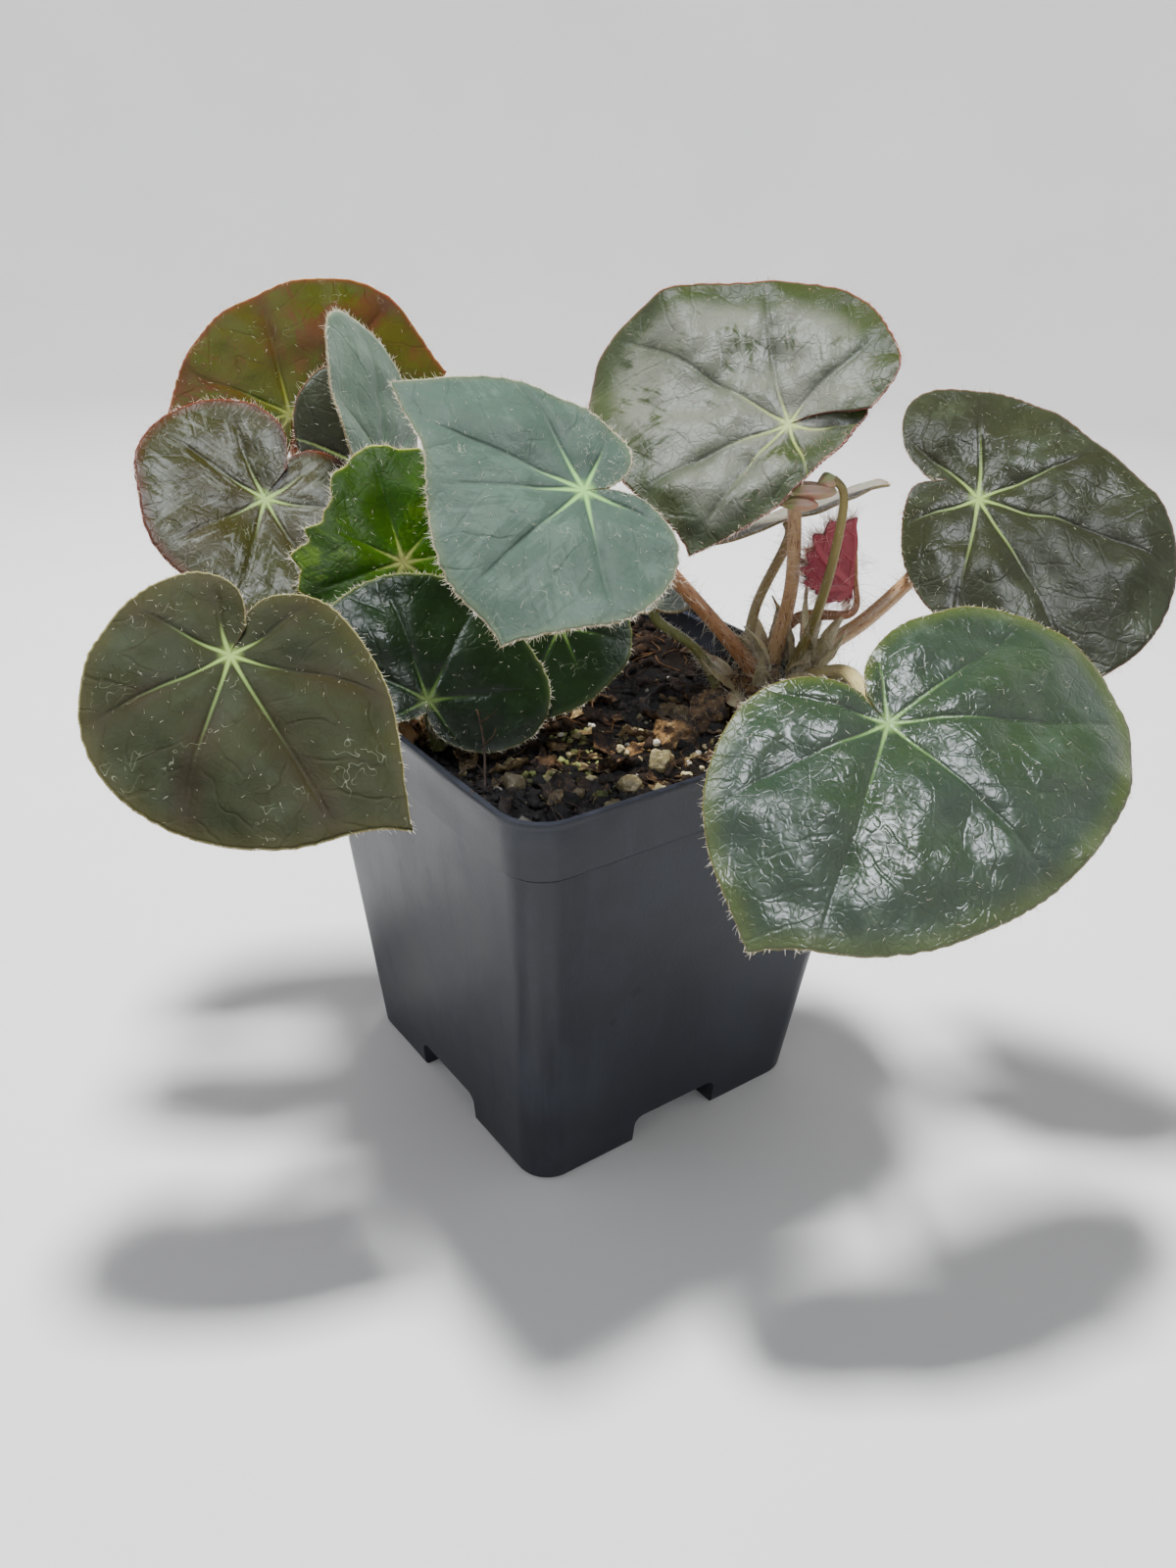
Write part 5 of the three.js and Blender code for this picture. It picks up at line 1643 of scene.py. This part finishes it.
    @staticmethod
    def scatter(
        draw: np.random.Generator,
        count: int,
        area: tuple[float, float, float, float],
        least: float,
        more: float,
        power: float = 1.0,
    ) -> list[tuple[float, float, float]]:
        """Draws places and sizes.

        Args:
            draw: The random numbers.
            count: How many.
            area: Low and high X, low and high Y.
            least: The smallest size.
            more: How much larger the largest one is.
            power: Above 1, most are small.

        Returns:
            X, Y and size of each.
        """
        x, y = draw.uniform(area[0], area[1], count), draw.uniform(area[2], area[3], count)
        return list(zip(x, y, least + more * draw.uniform(0, 1, count) ** power))

    def litter(self, finishes: Finishes) -> None:
        """Lays the crumbs, perlite, grit and moss, the grit mostly in the open front of the pot."""
        draw = np.random.default_rng(SEED)
        reach = self.reach
        everywhere = (-reach, reach, -reach, reach)
        crumbs = self.scatter(draw, self.crumbs, everywhere, 0.35, 1.5, 3)
        peat = MottledSkin("peat_crumbs", "#1c130c", "#0e0906", 500.0, 0.85, 0.3, tone="#35261a")
        self.strew("soil_crumbs", crumbs, peat, finishes, rough=0.75)
        specks = [(-40, -33, 2.6), (36, -12, 2.2), (38, -18, 1.3), (-22, -24, 1.2), (5, -31, 0.9),
                  (11, -27, 0.9)]
        specks += self.scatter(draw, self.specks, everywhere, 0.3, 0.8, 2)
        perlite = MottledSkin("expanded_perlite", "#e9e5da", "#bfb8a8", 900.0, 0.75, 0.3, tone="#d8d0bc")
        self.strew("soil_perlite", specks, perlite, finishes, flat=0.85)
        grit = [(-32, -17, 2.9), (-19, -35, 2.1), (-12, -32, 2.6), (-8, -37, 2.1), (-0.5, -27.5, 2.6),
                (2.5, -26, 2.0), (1, -24.6, 1.6), (9, -29, 1.3), (16, -26, 1.2), (2, -34, 1.4),
                (-25, -20, 1.5)]
        grit += self.scatter(draw, self.grit, (-42, 24, -43, -6), 0.4, 1.1, 1.6)
        stone = MottledSkin("washed_grit", "#bdb288", "#8c8254", 420.0, 0.6, 0.2, tone="#7a6a4a",
                            fleck="#cfc49c")
        self.strew("soil_grit", grit, stone, finishes, rough=0.5, fine=3)
        patches = [(-20, -20), (-12.5, -17.5), (-24.5, -19.5), (-8, -5), (-16, -30), (-22, -16)]
        middles = patches * (self.moss // len(patches))
        spread = (draw.normal(size=self.moss), draw.normal(size=self.moss), draw.uniform(0, 1, self.moss))
        moss = [(cx + 3.0 * a, cy + 2.6 * b, 0.45 + 0.8 * c * c)
                for (cx, cy), a, b, c in zip(middles, *spread)]
        green = MottledSkin("dry_moss", "#7f8a4a", "#56602c", 900.0, 0.85, 0.3, tone="#a3a468")
        self.strew("soil_moss", moss, green, finishes, rough=0.7)

    def strands(self, finishes: Finishes) -> None:
        """Lays root fibres, and the sprig of root that stands at the left."""
        draw = np.random.default_rng(SEED + 3)
        bm = bmesh.new()
        for _ in range(self.fibres):
            x, y = draw.uniform(-self.reach + 4, self.reach - 4, 2)
            turn, length = draw.uniform(0, 6.28), draw.uniform(4, 13)
            path = []
            for k in range(4):
                px = np.clip(x + length * k / 3 * math.cos(turn), -self.reach, self.reach)
                py = np.clip(y + length * k / 3 * math.sin(turn), -self.reach, self.reach)
                turn += draw.normal() * 0.5
                path.append((px, py, self.height(px, py) + 0.2 + 1.2 * draw.uniform()))
            way = even_way(path, 9)
            radii = np.full(9, draw.uniform(0.08, 0.2))
            radii[0] = radii[-1] = 0
            wrap_tube(bm, way, radii, 4)
        sprigs = (((-41, -20, 95), (-31, 1, 108), 0.35), ((-36.5, -11, 101), (-33, -12, 106), 0.22),
                  ((-34, -6, 104), (-30, -8, 108), 0.18), ((-39, -17, 97), (-42, -13, 101), 0.2))
        for start, tip, wide in sprigs:
            middle = [(a + b) / 2 + w for a, b, w in zip(start, tip, (0.8, -0.8, 0.6))]
            sprig = even_way([start, middle, tip], 16)
            radii = np.linspace(wide, wide * 0.4, 16)
            radii[0] = radii[-1] = 0
            wrap_tube(bm, sprig, radii, 7)
        bmesh.ops.recalc_face_normals(bm, faces=bm.faces)
        wood = finishes.of(MottledSkin("root_fibres", "#5c4228", "#352415", 300.0, 0.8, 0.1))
        register(piece_from(bm, "soil_fibres", [wood]), Slot.SOIL)

    def scraps(self, finishes: Finishes) -> None:
        """Lays crumpled dead bracts and bark: small sheets, bent and thickened."""
        draw = np.random.default_rng(SEED + 9)
        bm = bmesh.new()
        spots = [(-35, -4, 7), (-27, -27, 6), (-10, -24, 6), (3, -15, 6), (-20, -29, 5), (-6, -15, 6),
                 (-30, -12, 6), (14, -32, 4), (24, -26, 5), (-15, -10, 4), (6, 4, 5), (-22, -14, 5),
                 (30, -30, 4), (-38, -24, 5), (10, -13, 6), (17, -11, 6), (24, -9, 5), (-3, -20, 6),
                 (-14, -22, 5), (7, -22, 5)]
        spots += self.scatter(draw, self.flakes, (-44, 30, -44, 10), 1.4, 3.0, 1.5)
        for k, (x, y, size) in enumerate(spots):
            big = size > 4
            across, along = (14, 10) if big else (6, 5)
            sheet = bmesh.ops.create_grid(bm, x_segments=across, y_segments=along, size=0.5)["verts"]
            faces = {f for v in sheet for f in v.link_faces}
            turn = Matrix.Rotation(draw.uniform(0, 6.28), 3, "Z")
            spin = turn @ Matrix.Rotation(draw.uniform(-0.8, 0.8), 3, "X")
            centre = Vector((x, y, self.height(x, y) + 0.2 * size))
            offset = Vector(draw.uniform(0, 50, 3))
            slim = draw.uniform(0.45, 0.9)
            for vert in sheet:
                ragged = 1 + 0.5 * noise.noise(vert.co * 3 + offset)
                flat = Vector((vert.co.x * size * 1.35 * ragged, vert.co.y * size * slim * ragged, 0))
                crease = 1.6 * noise.noise(flat / 2.6 + offset) + 0.7 * noise.noise(flat / 0.9 + offset)
                curl = 3.2 * vert.co.y**2 * size / 4
                vert.co = centre + spin @ (flat + Vector((0, 0, crease * min(1, size / 4) + curl)))
            for face in faces:
                face.material_index = k % 3 == 0
            bmesh.ops.solidify(bm, geom=list(faces), thickness=0.22)
        bmesh.ops.recalc_face_normals(bm, faces=bm.faces)
        paper = MottledSkin("dead_bracts", "#503a24", "#21160d", 300.0, 0.8, 0.3, fleck="#7a6040")
        pale = MottledSkin("bleached_bracts", "#84704a", "#4a3822", 260.0, 0.75, 0.3, fleck="#b8a67c")
        materials = [finishes.of(paper), finishes.of(pale)]
        register(piece_from(bm, "dead_scraps", materials), Slot.SOIL)

    def build(self, finishes: Finishes) -> None:
        """Builds the soil with the shared materials."""
        self.ground(finishes)
        self.litter(finishes)
        self.strands(finishes)
        self.scraps(finishes)


@dataclass
class Studio:
    """The floor with its sweep, the lights and the camera.

    lamps give each soft panel's name, place, side, power in watts and colour. Lengths are in
    millimetres.
    """

    eye: Point = (-162.69, -221.01, 223.46)
    right: Point = (0.8132, -0.5814, 0.0277)
    up: Point = (0.2541, 0.3974, 0.8818)
    focal_px: float = 1311.19
    image_height: int = 1600
    sensor: float = 36.0
    floor_reach: float = 900.0
    sweep_radius: float = 260.0
    sweep_height: float = 1300.0
    lamps: Sequence[tuple[str, Point, float, float, str]] = (
        ("key", (118, 252, 966), 130, 26.0, "#ffffff"),
        ("front", (-35, -404, 870), 240, 6.0, "#f3f6ff"),
        ("back", (-298, 172, 896), 280, 5.0, "#f3f6ff"),
        ("side", (-620, 160, 560), 420, 0.5, "#eef3ff"),
    )

    def camera(self) -> None:
        """Places the camera at the photograph's view."""
        data = bpy.data.cameras.new("camera")
        data.sensor_width = self.sensor
        data.lens = self.focal_px * self.sensor / self.image_height
        data.clip_start = 0.01
        right, up = Vector(self.right).normalized(), Vector(self.up).normalized()
        back = right.cross(up)
        turn = Matrix((right, up, back)).transposed().to_4x4()
        camera = bpy.data.objects.new("camera", data)
        camera.matrix_world = Matrix.Translation(to_frame(self.eye)) @ turn
        bpy.context.scene.collection.objects.link(camera)
        bpy.context.scene.camera = camera

    def floor(self) -> None:
        """Lays a round pale floor that sweeps up all round, by spinning half its section."""
        bm = bmesh.new()
        steps = 16
        turn = [math.radians(90 * k / steps) for k in range(steps + 1)]
        section = [(0.0, 0.0)]
        reach, radius = self.floor_reach, self.sweep_radius
        section += [(reach + radius * math.sin(a), radius * (1 - math.cos(a))) for a in turn]
        section.append((self.floor_reach + self.sweep_radius, self.sweep_height))
        verts = [bm.verts.new((x, 0, z)) for x, z in section]
        edges = [bm.edges.new(pair) for pair in zip(verts, verts[1:])]
        bmesh.ops.spin(bm, geom=[*verts, *edges], cent=(0, 0, 0), axis=(0, 0, 1), angle=2 * math.pi, steps=96,
                       use_merge=True)
        bmesh.ops.remove_doubles(bm, verts=bm.verts, dist=1e-3)
        bmesh.ops.recalc_face_normals(bm, faces=bm.faces)
        if sum(f.normal.z for f in bm.faces) < 0:
            bmesh.ops.reverse_faces(bm, faces=bm.faces)
        material, t, surface = blank_material("pale_painted_board")
        place = add(t, "TexCoord").outputs["Object"]
        cloud = add(t, "TexNoise", {"Vector": place, "Scale": 9.0, "Detail": 3.0})
        colour = add(t, "MixRGB", [cloud, linear("#dcdcdd"), linear("#e6e6e6")])
        feed(t, surface, {"Base Color": colour, "Roughness": 0.6})
        piece_from(bm, "floor", [material])

    def light(self, name: str, at: Point, size: float, power: float, colour: str) -> None:
        """Hangs one soft lamp that points at the plant.

        The key lamp doesn't show in gloss, and the front and back panels light nothing but gloss.

        Args:
            name: Its name.
            at: Its place.
            size: The side of its panel.
            power: Its power in watts.
            colour: Its colour.
        """
        data = bpy.data.lights.new(name, "AREA")
        data.size = size * MM
        data.energy = power
        data.color = linear(colour)[:3]
        lamp = bpy.data.objects.new(name, data)
        start = to_frame(at)
        lamp.location = start
        lamp.rotation_euler = (to_frame((0, 0, 110)) - start).to_track_quat("-Z", "Y").to_euler()
        lamp.visible_glossy = name != "key"
        lamp.visible_diffuse = name not in ("front", "back")
        bpy.context.scene.collection.objects.link(lamp)

    def build(self) -> None:
        """Sets the studio up."""
        self.camera()
        self.floor()
        world = bpy.data.worlds.new("soft_room")
        world.use_nodes = True
        background = world.node_tree.nodes["Background"]
        background.inputs["Color"].default_value = linear("#e3e7ec")
        background.inputs["Strength"].default_value = 0.05
        bpy.context.scene.world = world
        for lamp in self.lamps:
            self.light(*lamp)


def main() -> None:
    """Builds every piece in order."""
    logging.basicConfig(level=logging.INFO, format="%(message)s")
    finishes = Finishes()
    Studio().build()
    Pot().build(finishes)
    Soil().build(finishes)
    for rhizome in RHIZOMES:
        rhizome.build(finishes)
    Flower().build(finishes)
    for leaf in LEAVES:
        leaf.build(finishes)


if __name__ == "__main__":
    main()
